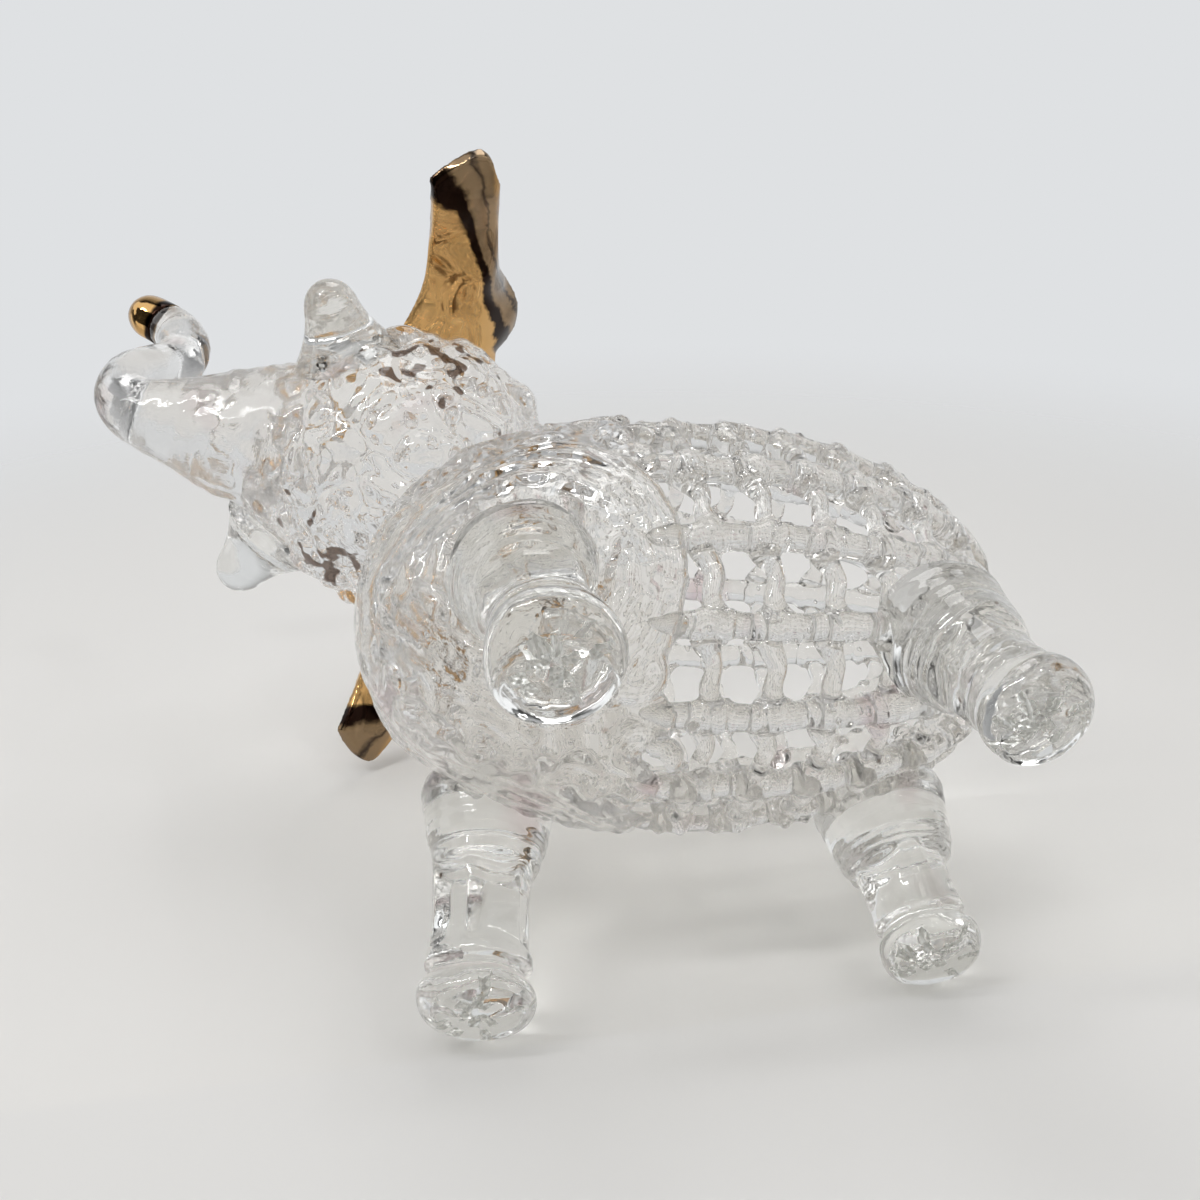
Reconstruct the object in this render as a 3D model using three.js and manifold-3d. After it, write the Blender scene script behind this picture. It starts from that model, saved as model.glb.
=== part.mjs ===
// Spun glass elephant figurine, standing on its four pressed feet.
// Millimetres, +Z up. The elephant faces -Y and its left side is +X.
// The body is an open lattice of glass rod between a wound chest and a wound rump.

import * as THREE from 'three';
import * as BufferGeometryUtils from 'three/addons/utils/BufferGeometryUtils.js';
import Module from 'manifold-3d';

const wasm = await Module();
wasm.setup();

// Clearance that stands for the weld between two pieces of glass
const weldGap = 0.3;

// Body barrel
const bodyLength = 74;
const bodyWidth = 43.5;
const bodyHeight = 47.5;
const bodyCentreHeight = 37.5;
const chestBluntness = 2.7;
const rumpBluntness = 2.15;
const barrelRoundness = 2.2;

// Spun lattice: long rods along the barrel, joined by S-shaped rungs
const stringerCount = 15;
const stringerRadius = 1.5;
const stringerSides = 6;
const stringerSteps = 12;
const rungsPerCourse = 6;
const rungRadius = 1.4;
const rungSides = 5;
const rungSteps = 4;
const rungRoutePoints = 12;
const rungSwingReach = 42;
const rungLeanShare = 0.25;
const rungFrontMargin = 3.4;
const rungRearMargin = 5.2;
const latticePhase = 0.875;

// Wound chest and rump, coiled about the long axis of the body
const chestDepth = 30;
const chestWall = 3.2;
const chestCoils = 10;
const rumpCoils = 2;
const coilDepth = 0.8;
const bowlSteps = 6;
const coilStepsPerTurn = 2;
const windingSides = 22;

// Legs: a wound thigh, a clear shank and a pressed foot
const frontLegSetback = 14.5;
const frontLegInset = 7.35;
const frontRootDrop = 9.5;
const frontStride = 2.3;
const frontSplay = 9.5;
const frontStagger = 1.4;
const frontThighLength = 10.7;
const rearLegSetback = 15.5;
const rearLegInset = 9.95;
const rearRootDrop = 13.5;
const rearStride = 2;
const rearSplay = 5.9;
const rearThighLength = 11.3;
const thighRootRadius = 9.6;
const thighKneeRadius = 6.6;
const thighCoils = 4;
const thighCoilDepth = 0.45;
const shankTopRadius = 6.2;
const shankWaisting = 0.4;
const frontFootRadius = 6.3;
const rearFootRadius = 5.7;
const footThickness = 6.8;
const footPress = 0.7;
const footOverhang = 0.6;
const footSteps = 6;
const footSquareness = 0.75;
const shankSteps = 3;
const legSides = 14;
const skinSides = 32;
const skinSteps = 12;

// Head, turned a little to the elephant's left and tipped with it
const headSetback = 6;
const headSink = 9.75;
const headTurn = 9;
const headTip = 6.5;
const headLength = 37;
const headWidth = 35;
const headDepth = 36;
const headKnobHeight = 0.9;
const headKnobsRound = 10;
const headKnobRows = 6;
const headSides = 28;
const headRows = 16;

// Trunk, raised in an S with a gilt tip; heights are above the middle of the head
const trunkRootDepth = 10.5;
const trunkLength = 18;
const muzzleHeight = 1.5;
const trunkHeelHeight = 4;
const trunkBendHeight = 11;
const trunkNeckHeight = 20;
const trunkCrookHeight = 27;
const trunkTopHeight = 33;
const trunkTipHeight = 35;
const trunkTipReach = 3;
const trunkCurl = 5;
const trunkLean = 1;
const trunkDrift = 1.8;
const trunkRootInset = 2.5;
const trunkBendRadius = 4.6;
const trunkTipRadius = 3.1;
const trunkTaperShare = 0.45;
const trunkTaperCurve = 1.3;
const trunkRingDepth = 0.22;
const trunkSides = 12;
const trunkSteps = 20;
const trunkTipSteps = 3;
const giltTipLength = 6;

// Tusk nubs beside the trunk
const tuskSetback = 7.7;
const tuskStagger = 2.5;
const tuskHeight = 2;
const tuskProud = 6.5;
const tuskRadius = 3.3;
const tuskSplay = 28;
const tuskSides = 12;
const tuskDomeSteps = 4;

// Ears: gilt leaves of glass, folded along their length
const earSetback = 5;
const earStagger = 2;
const earSink = 2;
const earRootDepth = 6;
const earRootHeight = 5;
const earReach = 24.3;
const earDroop = 10;
const earDroopCurve = 1.4;
const earRootWidth = 13.5;
const earTipWidth = 9.6;
const earThickness = 1.7;
const earFold = 4.2;
const earSweep = 2.6;
const earLean = -12;
const earTwist = -34;
const earWaist = 0.2;
const earLobe = 4.5;
const earLobeAt = 0.35;
const earBulge = 3.4;
const earLengthSteps = 9;
const earWidthSteps = 6;

// Corners nearer to each other than this are one corner
const mergeTolerance = 1e-4;

// Glass and gilding
const clearGlass = { color: 0xe9edee, roughness: 0.04, metalness: 0.0 };
const spunGlass = { color: 0xdfe5e8, roughness: 0.06, metalness: 0.0 };
const giltGlass = { color: 0xc08a3e, roughness: 0.12, metalness: 0.85 };

// A place given as the elephant would say it: forward, to its left, up
function place(forward, left, up) {
  return new THREE.Vector3(left, -forward, up);
}

// Solids and meshes

function toSolid(geometry) {
  const plain = geometry.clone();
  plain.deleteAttribute('normal');
  plain.deleteAttribute('uv');
  const merged = BufferGeometryUtils.mergeVertices(plain, mergeTolerance);
  const corners = merged.index.array;
  const kept = [];
  for (let i = 0; i < corners.length; i += 3) {
    const [a, b, c] = [corners[i], corners[i + 1], corners[i + 2]];
    if (a !== b && b !== c && c !== a) {
      kept.push(a, b, c);
    }
  }
  const vertProperties = new Float32Array(merged.attributes.position.array);
  const triVerts = new Uint32Array(kept);
  return new wasm.Manifold(new wasm.Mesh({ numProp: 3, vertProperties, triVerts }));
}

function toGeometry(solid) {
  const mesh = solid.getMesh();
  const geometry = new THREE.BufferGeometry();
  geometry.setAttribute('position', new THREE.BufferAttribute(mesh.vertProperties, 3));
  geometry.setIndex(new THREE.BufferAttribute(mesh.triVerts, 1));
  geometry.computeVertexNormals();
  return geometry;
}

// The largest body of a cut piece: chips beyond the cut are ground away
function largestBody(solid) {
  const bodies = solid.decompose();
  bodies.sort((a, b) => b.volume() - a.volume());
  return bodies[0];
}

function addPiece(parent, name, solid, finish) {
  const mesh = new THREE.Mesh(toGeometry(solid), new THREE.MeshStandardMaterial(finish));
  mesh.name = name;
  parent.add(mesh);
}

function moved(solid, matrix) {
  return solid.transform(matrix.elements);
}

// Rod of constant thickness drawn along a curve
function rod(curve, radius, sides, steps) {
  const outline = [];
  for (let i = 0; i < sides; i += 1) {
    const angle = (2 * Math.PI * i) / sides;
    outline.push(new THREE.Vector2(radius * Math.cos(angle), radius * Math.sin(angle)));
  }
  const section = new THREE.Shape(outline);
  return new THREE.ExtrudeGeometry(section, { steps, extrudePath: curve });
}

// Turned form about the Z axis from points given as radius and height
function turned(profile, sides) {
  const points = profile.map(([radius, height]) => new THREE.Vector2(radius, height));
  const geometry = new THREE.LatheGeometry(points, sides);
  geometry.rotateX(Math.PI / 2);
  return geometry;
}

// Moves every vertex of a geometry by a rule
function reshape(geometry, rule) {
  const position = geometry.attributes.position;
  const point = new THREE.Vector3();
  for (let i = 0; i < position.count; i += 1) {
    point.fromBufferAttribute(position, i);
    rule(point);
    position.setXYZ(i, point.x, point.y, point.z);
  }
  return geometry;
}

// Body barrel, whose middle is the place that forward and left are counted from

const halfLength = bodyLength / 2;
const halfWidth = bodyWidth / 2;
const halfHeight = bodyHeight / 2;

// How full the barrel is at a distance in front of its middle, from 0 to 1
function fullness(distance) {
  const share = Math.min(Math.abs(distance) / halfLength, 1);
  const bluntness = distance > 0 ? chestBluntness : rumpBluntness;
  return (1 - share ** bluntness) ** (1 / barrelRoundness);
}

// A point on the barrel: distance in front of its middle, and turn from the left flank upwards
function onBarrel(distance, turn) {
  const full = fullness(distance);
  const left = halfWidth * full * Math.cos(turn);
  return place(distance, left, bodyCentreHeight + halfHeight * full * Math.sin(turn));
}

// Spun lattice

const courseTurn = (2 * Math.PI) / stringerCount;
const latticeFront = halfLength - chestDepth;

// The lattice runs back to where its long rods all but touch
const rearFullness = (2 * stringerRadius + weldGap) / (halfWidth * courseTurn);
const latticeRear = -halfLength * (1 - rearFullness ** barrelRoundness) ** (1 / rumpBluntness);

const latticeLength = latticeFront - latticeRear;
const rungRow = latticeLength - rungFrontMargin - rungRearMargin;
const rungPitch = rungRow / (rungsPerCourse - 1);

function stringer(course) {
  const turn = (course + latticePhase) * courseTurn;
  const points = [];
  for (let i = 0; i <= stringerSteps; i += 1) {
    points.push(onBarrel(latticeRear + (latticeLength * i) / stringerSteps, turn));
  }
  return toSolid(rod(new THREE.CatmullRomCurve3(points), stringerRadius, stringerSides, stringerSteps));
}

// Straight distance between a stringer and the next one round
function stringerSpacing(course, distance) {
  const near = onBarrel(distance, (course + latticePhase) * courseTurn);
  return near.distanceTo(onBarrel(distance, (course + latticePhase + 1) * courseTurn));
}

// S-shaped rung from the heart of one stringer to the near side of the next one round.
// The wider the space it crosses, the more it swings, so that no rung bends too tightly.
function rung(course, index) {
  const middle = latticeRear + rungRearMargin + index * rungPitch;
  const clear = stringerSpacing(course, middle) - 2 * stringerRadius;
  const lean = rungLeanShare * clear;
  const swing = clear ** 2 / rungSwingReach;
  const end = middle + lean / 2;
  const narrowest = stringerSpacing(course, end + Math.sign(end) * rungRadius);
  const seat = (narrowest - stringerRadius - weldGap) / stringerSpacing(course, end);
  const points = [];
  for (let i = 0; i <= rungRoutePoints; i += 1) {
    const share = i / rungRoutePoints;
    const curl = Math.sin(2 * Math.PI * share) * Math.sin(Math.PI * share);
    const sideways = lean * (THREE.MathUtils.smoothstep(share, 0, 1) - 0.5) + swing * curl;
    points.push(onBarrel(middle + sideways, (course + latticePhase + seat * share) * courseTurn));
  }
  return toSolid(rod(new THREE.CatmullRomCurve3(points), rungRadius, rungSides, rungSteps));
}

function course(index) {
  let solid = stringer(index);
  for (let i = 0; i < rungsPerCourse; i += 1) {
    solid = solid.add(rung(index, i));
  }
  return largestBody(solid);
}

// Wound chest and rump

// Outline of one end of the barrel from its rim to the pole, as radius and distance from the middle
function endOutline(rim, pole, steps, swellAt) {
  const outline = [];
  const rimTurn = Math.acos(Math.abs(rim / pole));
  for (let i = 0; i <= steps; i += 1) {
    const turn = (rimTurn * (steps - i)) / steps;
    const distance = pole * Math.cos(turn);
    const swell = swellAt(i);
    const radius = halfHeight * fullness(distance) + swell * Math.sin(turn);
    outline.push([i === steps ? 0 : radius, distance + Math.sign(pole) * swell * Math.cos(turn)]);
  }
  return outline;
}

// Swell of a coiled skin whose crests stand as far out as the lattice rods
function coilSwell(step) {
  return stringerRadius - coilDepth * Math.cos((Math.PI * step) / coilStepsPerTurn) ** 2;
}

// Stands a turned form along the body's long axis
function alongBody(geometry) {
  geometry.scale(halfWidth / halfHeight, 1, 1);
  geometry.rotateX(Math.PI / 2);
  geometry.translate(0, 0, bodyCentreHeight);
  return geometry;
}

function chestBowl() {
  const rim = latticeFront + weldGap;
  const outer = endOutline(rim, halfLength, chestCoils * coilStepsPerTurn, coilSwell);
  const inner = endOutline(rim, halfLength, bowlSteps, () => stringerRadius - chestWall);
  const profile = [...inner.reverse(), ...outer];
  return toSolid(alongBody(turned(profile, windingSides)));
}

function rumpCap() {
  const rim = latticeRear - weldGap;
  const outer = endOutline(rim, -halfLength, rumpCoils * coilStepsPerTurn, coilSwell);
  return toSolid(alongBody(turned([...outer.reverse(), [0, rim]], windingSides)));
}

// The barrel's outer skin as a full solid, for seating what is welded onto it
function barrelSkin(outward) {
  const front = endOutline(0, halfLength, skinSteps, () => outward);
  const rear = endOutline(0, -halfLength, skinSteps, () => outward);
  return toSolid(alongBody(turned([...rear.reverse(), ...front.slice(1)], skinSides)));
}

const bodySeat = barrelSkin(stringerRadius + weldGap);

// Legs

const footCentre = footThickness / 2 - footPress;

// Frame of a leg: its origin at the middle of the foot, its Z axis up towards the root
function legMatrix(foot, root) {
  const up = new THREE.Vector3().subVectors(root, foot).normalize();
  const turn = new THREE.Quaternion().setFromUnitVectors(new THREE.Vector3(0, 0, 1), up);
  return new THREE.Matrix4().compose(foot, turn, new THREE.Vector3(1, 1, 1));
}

// Pressed foot: a flattened ball of glass, before the ground is cut away
function footBall(footRadius, growth) {
  const outline = [];
  const half = footThickness / 2 + growth;
  for (let i = 0; i <= footSteps; i += 1) {
    const turn = Math.PI * (i / footSteps - 0.5);
    const radius = (footRadius + growth) * Math.cos(turn) ** footSquareness;
    const height = footCentre + half * Math.sin(turn);
    outline.push([i === 0 || i === footSteps ? 0 : radius, height]);
  }
  return toSolid(turned(outline, legSides));
}

// Clear shank from the knee down to the crown of the foot
function shank(kneeHeight, footRadius) {
  const ankleRadius = footRadius - footOverhang;
  const outline = [[0, footCentre]];
  for (let i = 0; i <= shankSteps; i += 1) {
    const share = i / shankSteps;
    const waist = shankWaisting * Math.sin(Math.PI * share);
    const radius = ankleRadius + (shankTopRadius - ankleRadius) * share - waist;
    outline.push([radius, footCentre + (kneeHeight - footCentre) * share]);
  }
  outline.push([0, kneeHeight]);
  return toSolid(turned(outline, legSides)).subtract(footBall(footRadius, weldGap));
}

// Wound thigh from the knee up into the body
function thigh(kneeHeight, rootHeight) {
  const steps = thighCoils * coilStepsPerTurn;
  const bottom = kneeHeight + weldGap;
  const outline = [[0, bottom]];
  for (let i = 0; i <= steps; i += 1) {
    const share = i / steps;
    const flare = (thighRootRadius - thighKneeRadius) * share ** 2;
    const coil = thighCoilDepth * Math.sin((Math.PI * i) / coilStepsPerTurn) ** 2;
    outline.push([thighKneeRadius + flare + coil, bottom + (rootHeight - bottom) * share]);
  }
  outline.push([0, rootHeight]);
  return toSolid(turned(outline, legSides));
}

// What the feet are pressed against
function ground() {
  const slab = new THREE.BoxGeometry(bodyLength * 2, bodyLength * 2, footThickness);
  slab.translate(0, 0, -footThickness / 2);
  return toSolid(slab);
}

function addLeg(parent, side, end) {
  const mirror = side === 'left' ? 1 : -1;
  const { name, forward, spread, drop, stride, splay, stagger, thighLength, footRadius } = end;
  const foot = place(forward + stride - mirror * stagger, mirror * (spread + splay), 0);
  const root = place(forward, mirror * spread, bodyCentreHeight - drop);
  const matrix = legMatrix(foot, root);
  const length = foot.distanceTo(root);
  const knee = length - thighLength;
  const pressed = moved(footBall(footRadius, 0), matrix).subtract(ground());
  const upper = largestBody(moved(thigh(knee, length), matrix).subtract(bodySeat));
  addPiece(parent, `${name}_${side}_foot`, pressed, clearGlass);
  addPiece(parent, `${name}_${side}_shank`, moved(shank(knee, footRadius), matrix), clearGlass);
  addPiece(parent, `${name}_${side}_thigh`, upper, spunGlass);
}

// Head, trunk, tusks and ears, in the head's own frame, counted from its middle

const muzzle = headLength / 2;

// Knobbly ball of the head, grown evenly where something is seated against it
function headBall(growth) {
  const ball = new THREE.SphereGeometry(1, headSides, headRows);
  ball.rotateX(Math.PI / 2);
  return toSolid(reshape(ball, (point) => {
    const around = Math.atan2(point.y, point.x);
    const rise = Math.asin(THREE.MathUtils.clamp(point.z, -1, 1));
    const knobs = Math.cos(headKnobsRound * around) * Math.cos(headKnobRows * 2 * rise);
    const swell = headKnobHeight * Math.max(knobs, 0) * Math.cos(rise) + growth;
    point.x *= headWidth / 2 + swell;
    point.y *= muzzle + swell;
    point.z *= headDepth / 2 + swell;
  }));
}

// Middle line of the trunk: out of the muzzle, up at the heel, back at the neck, on at the tip
function trunkCurve() {
  const bend = muzzle + trunkLength;
  return new THREE.CatmullRomCurve3([
    place(muzzle - trunkRootDepth, 0, 0),
    place(muzzle, 0, muzzleHeight),
    place(bend - trunkBendHeight, 0, muzzleHeight),
    place(bend - trunkLean, 0, trunkHeelHeight),
    place(bend, trunkDrift / 3, trunkBendHeight),
    place(bend - trunkCurl, trunkDrift / 2, trunkNeckHeight),
    place(bend - trunkCurl, trunkDrift, trunkCrookHeight),
    place(bend - trunkLean, trunkDrift, trunkTopHeight),
    place(bend + trunkTipReach, trunkDrift, trunkTipHeight),
  ]);
}

// Bends a form turned about Z, from height 0 to 1, so that it follows a stretch of a curve
function bent(geometry, curve, from, to) {
  const across = new THREE.Vector3(1, 0, 0);
  return reshape(geometry, (point) => {
    const share = from + (to - from) * point.z;
    const centre = curve.getPointAt(THREE.MathUtils.clamp(share, 0, 1));
    const along = curve.getTangentAt(THREE.MathUtils.clamp(share, 0, 1));
    const upward = new THREE.Vector3().crossVectors(along, across).normalize();
    const sideways = new THREE.Vector3().crossVectors(upward, along);
    const [x, y] = [point.x, point.y];
    point.copy(centre).addScaledVector(sideways, x).addScaledVector(upward, y);
  });
}

function trunkRadius(share) {
  const root = Math.max(0, 1 - share / trunkTaperShare);
  const slim = trunkTipRadius + (trunkBendRadius - trunkTipRadius) * (1 - share);
  return slim + (headWidth / 2 - trunkRootInset - trunkBendRadius) * root ** trunkTaperCurve;
}

// A stretch of the trunk between two shares of its length
function trunkStretch(curve, from, to, steps, growth) {
  const outline = [[0, 0]];
  for (let i = 0; i <= steps; i += 1) {
    const share = i / steps;
    const along = from + (to - from) * share;
    const ring = trunkRingDepth * Math.cos(Math.PI * i) * Math.max(0, 1 - 2 * along);
    outline.push([trunkRadius(along) + ring + growth, share]);
  }
  outline.push([0, 1]);
  return toSolid(bent(turned(outline, trunkSides), curve, from, to));
}

// Domed nub of glass that stands out from the cheek
function tusk(stagger) {
  const rootSpread = headWidth / 4;
  const domeStart = headWidth / 2 + tuskProud - rootSpread - tuskRadius;
  const outline = [[0, 0], [tuskRadius, 0]];
  for (let i = 0; i <= tuskDomeSteps; i += 1) {
    const turn = (Math.PI / 2) * (i / tuskDomeSteps);
    const height = domeStart + tuskRadius * Math.sin(turn);
    outline.push([i === tuskDomeSteps ? 0 : tuskRadius * Math.cos(turn), height]);
  }
  const nub = turned(outline, tuskSides);
  nub.rotateY(Math.PI / 2);
  nub.rotateZ(-THREE.MathUtils.degToRad(tuskSplay));
  const start = place(muzzle - tuskSetback + stagger, rootSpread, tuskHeight);
  nub.translate(start.x, start.y, start.z);
  return toSolid(nub);
}

// Leaf of the left ear, folded along its length, from inside the head out to its lobe
function ear(stagger) {
  const leaf = new THREE.BoxGeometry(1, 1, 1, earWidthSteps, 1, earLengthSteps);
  return toSolid(reshape(leaf, (point) => {
    const across = 2 * point.x;
    const share = THREE.MathUtils.lerp(-earRootDepth / earReach, 1, point.z + 0.5);
    const open = Math.max(share, 0);
    const lobe = earLobe * (1 - ((across + earLobeAt) / (1 + earLobeAt)) ** 2);
    const waist = 1 - earWaist * Math.sin(Math.PI * open);
    const bulge = earBulge * Math.sin(2 * Math.PI * open) * Math.min(across, 0);
    const wide = (THREE.MathUtils.lerp(earRootWidth, earTipWidth, open) / 2) * waist * across + bulge;
    const high = earFold * across ** 2 - point.y * earThickness;
    const lean = THREE.MathUtils.degToRad(earLean + earTwist * open);
    const spine = place(
      earSweep * share - earSetback + stagger,
      headWidth / 2 - earSink + (earReach + lobe) * share,
      earRootHeight - earDroop * open ** earDroopCurve,
    );
    const forward = wide * Math.cos(lean) - high * Math.sin(lean);
    const up = wide * Math.sin(lean) + high * Math.cos(lean);
    point.copy(spine).add(place(forward, 0, up));
  }));
}

// Assembly

const figurine = new THREE.Group();
const body = new THREE.Group();
figurine.add(body);

for (let i = 0; i < stringerCount; i += 1) {
  const number = String(i + 1).padStart(2, '0');
  addPiece(body, `lattice_course_${number}`, course(i), spunGlass);
}
addPiece(body, 'wound_chest', chestBowl(), spunGlass);
addPiece(body, 'wound_rump', rumpCap(), spunGlass);

const frontEnd = {
  name: 'front',
  forward: halfLength - frontLegSetback,
  spread: halfWidth - frontLegInset,
  drop: frontRootDrop,
  stride: frontStride,
  splay: frontSplay,
  stagger: frontStagger,
  thighLength: frontThighLength,
  footRadius: frontFootRadius,
};
const rearEnd = {
  name: 'rear',
  forward: rearLegSetback - halfLength,
  spread: halfWidth - rearLegInset,
  drop: rearRootDrop,
  stride: -rearStride,
  splay: rearSplay,
  stagger: 0,
  thighLength: rearThighLength,
  footRadius: rearFootRadius,
};
const legs = new THREE.Group();
figurine.add(legs);
for (const end of [frontEnd, rearEnd]) {
  for (const side of ['left', 'right']) {
    addLeg(legs, side, end);
  }
}

const head = new THREE.Group();
const headHeight = bodyCentreHeight + halfHeight + headDepth / 2 - headSink;
head.position.copy(place(halfLength - headSetback, 0, headHeight));
head.rotation.set(0, -THREE.MathUtils.degToRad(headTip), THREE.MathUtils.degToRad(headTurn));
head.updateMatrix();
figurine.add(head);

const neckSeat = moved(bodySeat, head.matrix.clone().invert());
const headSeat = headBall(weldGap);
addPiece(head, 'head', largestBody(headBall(0).subtract(neckSeat)), spunGlass);

const curve = trunkCurve();
const trunkEnd = 1 - giltTipLength / curve.getLength();
const tipStart = trunkEnd + weldGap / curve.getLength();
const trunk = trunkStretch(curve, 0, trunkEnd, trunkSteps, 0);
addPiece(head, 'trunk', largestBody(trunk.subtract(headSeat)), clearGlass);
addPiece(head, 'trunk_tip', trunkStretch(curve, tipStart, 1, trunkTipSteps, 0), giltGlass);

const tuskSeat = headSeat.add(trunkStretch(curve, 0, trunkEnd, trunkSteps, weldGap));
const leftTusk = largestBody(tusk(-tuskStagger).subtract(tuskSeat));
const rightTusk = largestBody(tusk(tuskStagger).mirror([1, 0, 0]).subtract(tuskSeat));
addPiece(head, 'left_tusk', leftTusk, clearGlass);
addPiece(head, 'right_tusk', rightTusk, clearGlass);

const leftEar = largestBody(ear(earStagger).subtract(headSeat));
const rightEar = largestBody(ear(-earStagger).mirror([1, 0, 0]).subtract(headSeat));
addPiece(head, 'left_ear', leftEar, giltGlass);
addPiece(head, 'right_ear', rightEar, giltGlass);

// The origin is under the middle of the figurine, on the surface that it stands on
const footprint = new THREE.Box3().setFromObject(figurine, true);
figurine.position.x = -(footprint.min.x + footprint.max.x) / 2;
figurine.position.y = -(footprint.min.y + footprint.max.y) / 2;

export default figurine;
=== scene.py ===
# Spun glass elephant figurine: its glass, its gilding and the studio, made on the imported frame.
# Metres, +Z up. The elephant faces -Y and its left side is +X.
import math
import random

import bmesh
import bpy
from bpy.props import FloatProperty, FloatVectorProperty, PointerProperty
from mathutils import Matrix, Vector, kdtree, noise


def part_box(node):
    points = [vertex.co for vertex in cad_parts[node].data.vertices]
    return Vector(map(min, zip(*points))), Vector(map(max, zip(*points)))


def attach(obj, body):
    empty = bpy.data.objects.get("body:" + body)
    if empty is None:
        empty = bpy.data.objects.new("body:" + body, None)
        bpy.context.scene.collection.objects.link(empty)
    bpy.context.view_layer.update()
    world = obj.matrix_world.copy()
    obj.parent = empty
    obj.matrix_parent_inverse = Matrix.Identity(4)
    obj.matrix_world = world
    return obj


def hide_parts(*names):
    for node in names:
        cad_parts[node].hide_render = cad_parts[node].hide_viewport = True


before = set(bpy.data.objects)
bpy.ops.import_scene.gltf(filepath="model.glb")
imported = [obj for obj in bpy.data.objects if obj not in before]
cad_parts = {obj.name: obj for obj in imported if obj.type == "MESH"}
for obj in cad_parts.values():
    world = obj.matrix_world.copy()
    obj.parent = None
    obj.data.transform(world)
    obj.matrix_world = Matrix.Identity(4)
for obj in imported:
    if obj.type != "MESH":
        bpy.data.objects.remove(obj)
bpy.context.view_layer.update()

bl_info = {
    "name": "Spun glass elephant",
    "version": (1, 0, 0),
    "blender": (4, 5, 0),
    "location": "3D View > Sidebar > Glass elephant",
    "description": "Builds the glass, the gilding and the studio of a spun glass elephant",
    "category": "Add Mesh",
}

MM = 0.001

# Clearance between the frame's solids, which the fused glass closes
WELD = 0.3 * MM

# Body barrel, as the frame's solids have it
HALF_LENGTH = 37 * MM
HALF_WIDTH = 21.75 * MM
HALF_HEIGHT = 23.75 * MM
BODY_HEIGHT = 37.5 * MM
CHEST_BLUNTNESS = 2.7
RUMP_BLUNTNESS = 2.15
ROUNDNESS = 2.2

# Lattice, chest and rump; steps are how many straight pieces a rod is drawn in
COURSES = 15
RUNGS = 6
COURSE_PHASE = 0.875
ROD = 1.5 * MM
LATTICE_FRONT = 7 * MM
LATTICE_REAR = -35.1 * MM
RUNG_FRONT_MARGIN = 3.4 * MM
RUNG_REAR_MARGIN = 5.2 * MM
ROD_STEPS = 100
RUNG_STEPS = 24
COLLAR_SWEEP = 3.4 * math.pi
CHEST_WALL = 3.2 * MM
CHEST_COILS = 10
COIL_DEPTH = 0.8 * MM
COIL_WAVES = 5
COIL_WAVE_REACH = 1.4 * MM
RIM_STRAY = 1.2 * MM
RIM_ARCH = 3.2 * MM
CAP_RING = 0.3 * MM
LOOP_STEPS = 24
LOOSE_CURLS = 60
WALL_BUBBLES = 220
EDDY_REACH = 16 * MM

# Where the front legs leave the chest, as a distance and a turn, and the loops of rod round them
LEG_ROOT = 22.7 * MM
LEG_ROOT_TURN = 0.6
LEG_ROOT_LOOPS = (10.8, 12.4, 14.0, 15.6)

# Head: its place on the body, its turn and tip, its half sizes and its knobs
HEAD_FORWARD = 31 * MM
HEAD_HEIGHT = 69.5 * MM
HEAD_TURN = math.radians(9)
HEAD_TIP = math.radians(6.5)
HEAD_HALF = Vector((17.5, 18.5, 18)) * MM
KNOBS = 88
KNOB_HEIGHT = 1.3 * MM
KNOB_REACH = 4.6 * MM
KNOB_STRAY = 0.3

COURSE_TURN = 2 * math.pi / COURSES
ASIDE = Vector((1, 0, 0))
GOLDEN_TURN = math.pi * (3 - math.sqrt(5))


def middle_of_barrel():
    """The place under the middle of the barrel, from the wound chest's own box."""
    low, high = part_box("wound_chest")
    return Vector(((low.x + high.x) / 2, high.y + WELD + LATTICE_FRONT, 0))


ORIGIN = middle_of_barrel()


def place(forward, left, up):
    """A place counted from the middle of the barrel: forward, to the elephant's left, up."""
    return ORIGIN + Vector((left, -forward, up))


def fullness(distance):
    """How full the barrel is at a distance in front of its middle, from 0 to 1."""
    share = min(abs(distance) / HALF_LENGTH, 1)
    bluntness = CHEST_BLUNTNESS if distance > 0 else RUMP_BLUNTNESS
    return (1 - share**bluntness) ** (1 / ROUNDNESS)


def on_barrel(distance, turn, outward=0.0):
    """A point on the barrel's skin, or outward of it, at a turn from the left flank upwards."""
    full = fullness(distance)
    left = (HALF_WIDTH * full + outward) * math.cos(turn)
    return place(distance, left, BODY_HEIGHT + (HALF_HEIGHT * full + outward) * math.sin(turn))


HEAD_FRAME = (
    Matrix.Translation(place(HEAD_FORWARD, 0, HEAD_HEIGHT))
    @ Matrix.Rotation(-HEAD_TIP, 4, "Y")
    @ Matrix.Rotation(HEAD_TURN, 4, "Z")
)


def in_head(forward, left, up):
    """A place counted from the middle of the head, in the head's own directions."""
    return HEAD_FRAME @ Vector((left, -forward, up))


# Sizes and colours that a user would change


def linear(text):
    """A #rrggbb colour as linear red, green, blue."""
    shares = [int(text[i : i + 2], 16) / 255 for i in (1, 3, 5)]
    return [c / 12.92 if c <= 0.04045 else ((c + 0.055) / 1.055) ** 2.4 for c in shares]


def length(name, about, value):
    """A size in metres that a user may change."""
    return FloatProperty(name=name, description=about, default=value, unit="LENGTH", precision=5)


def colour(name, about, text):
    """A colour that a user may change."""
    return FloatVectorProperty(
        name=name, description=about, default=linear(text), subtype="COLOR", min=0, max=1
    )


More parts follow.
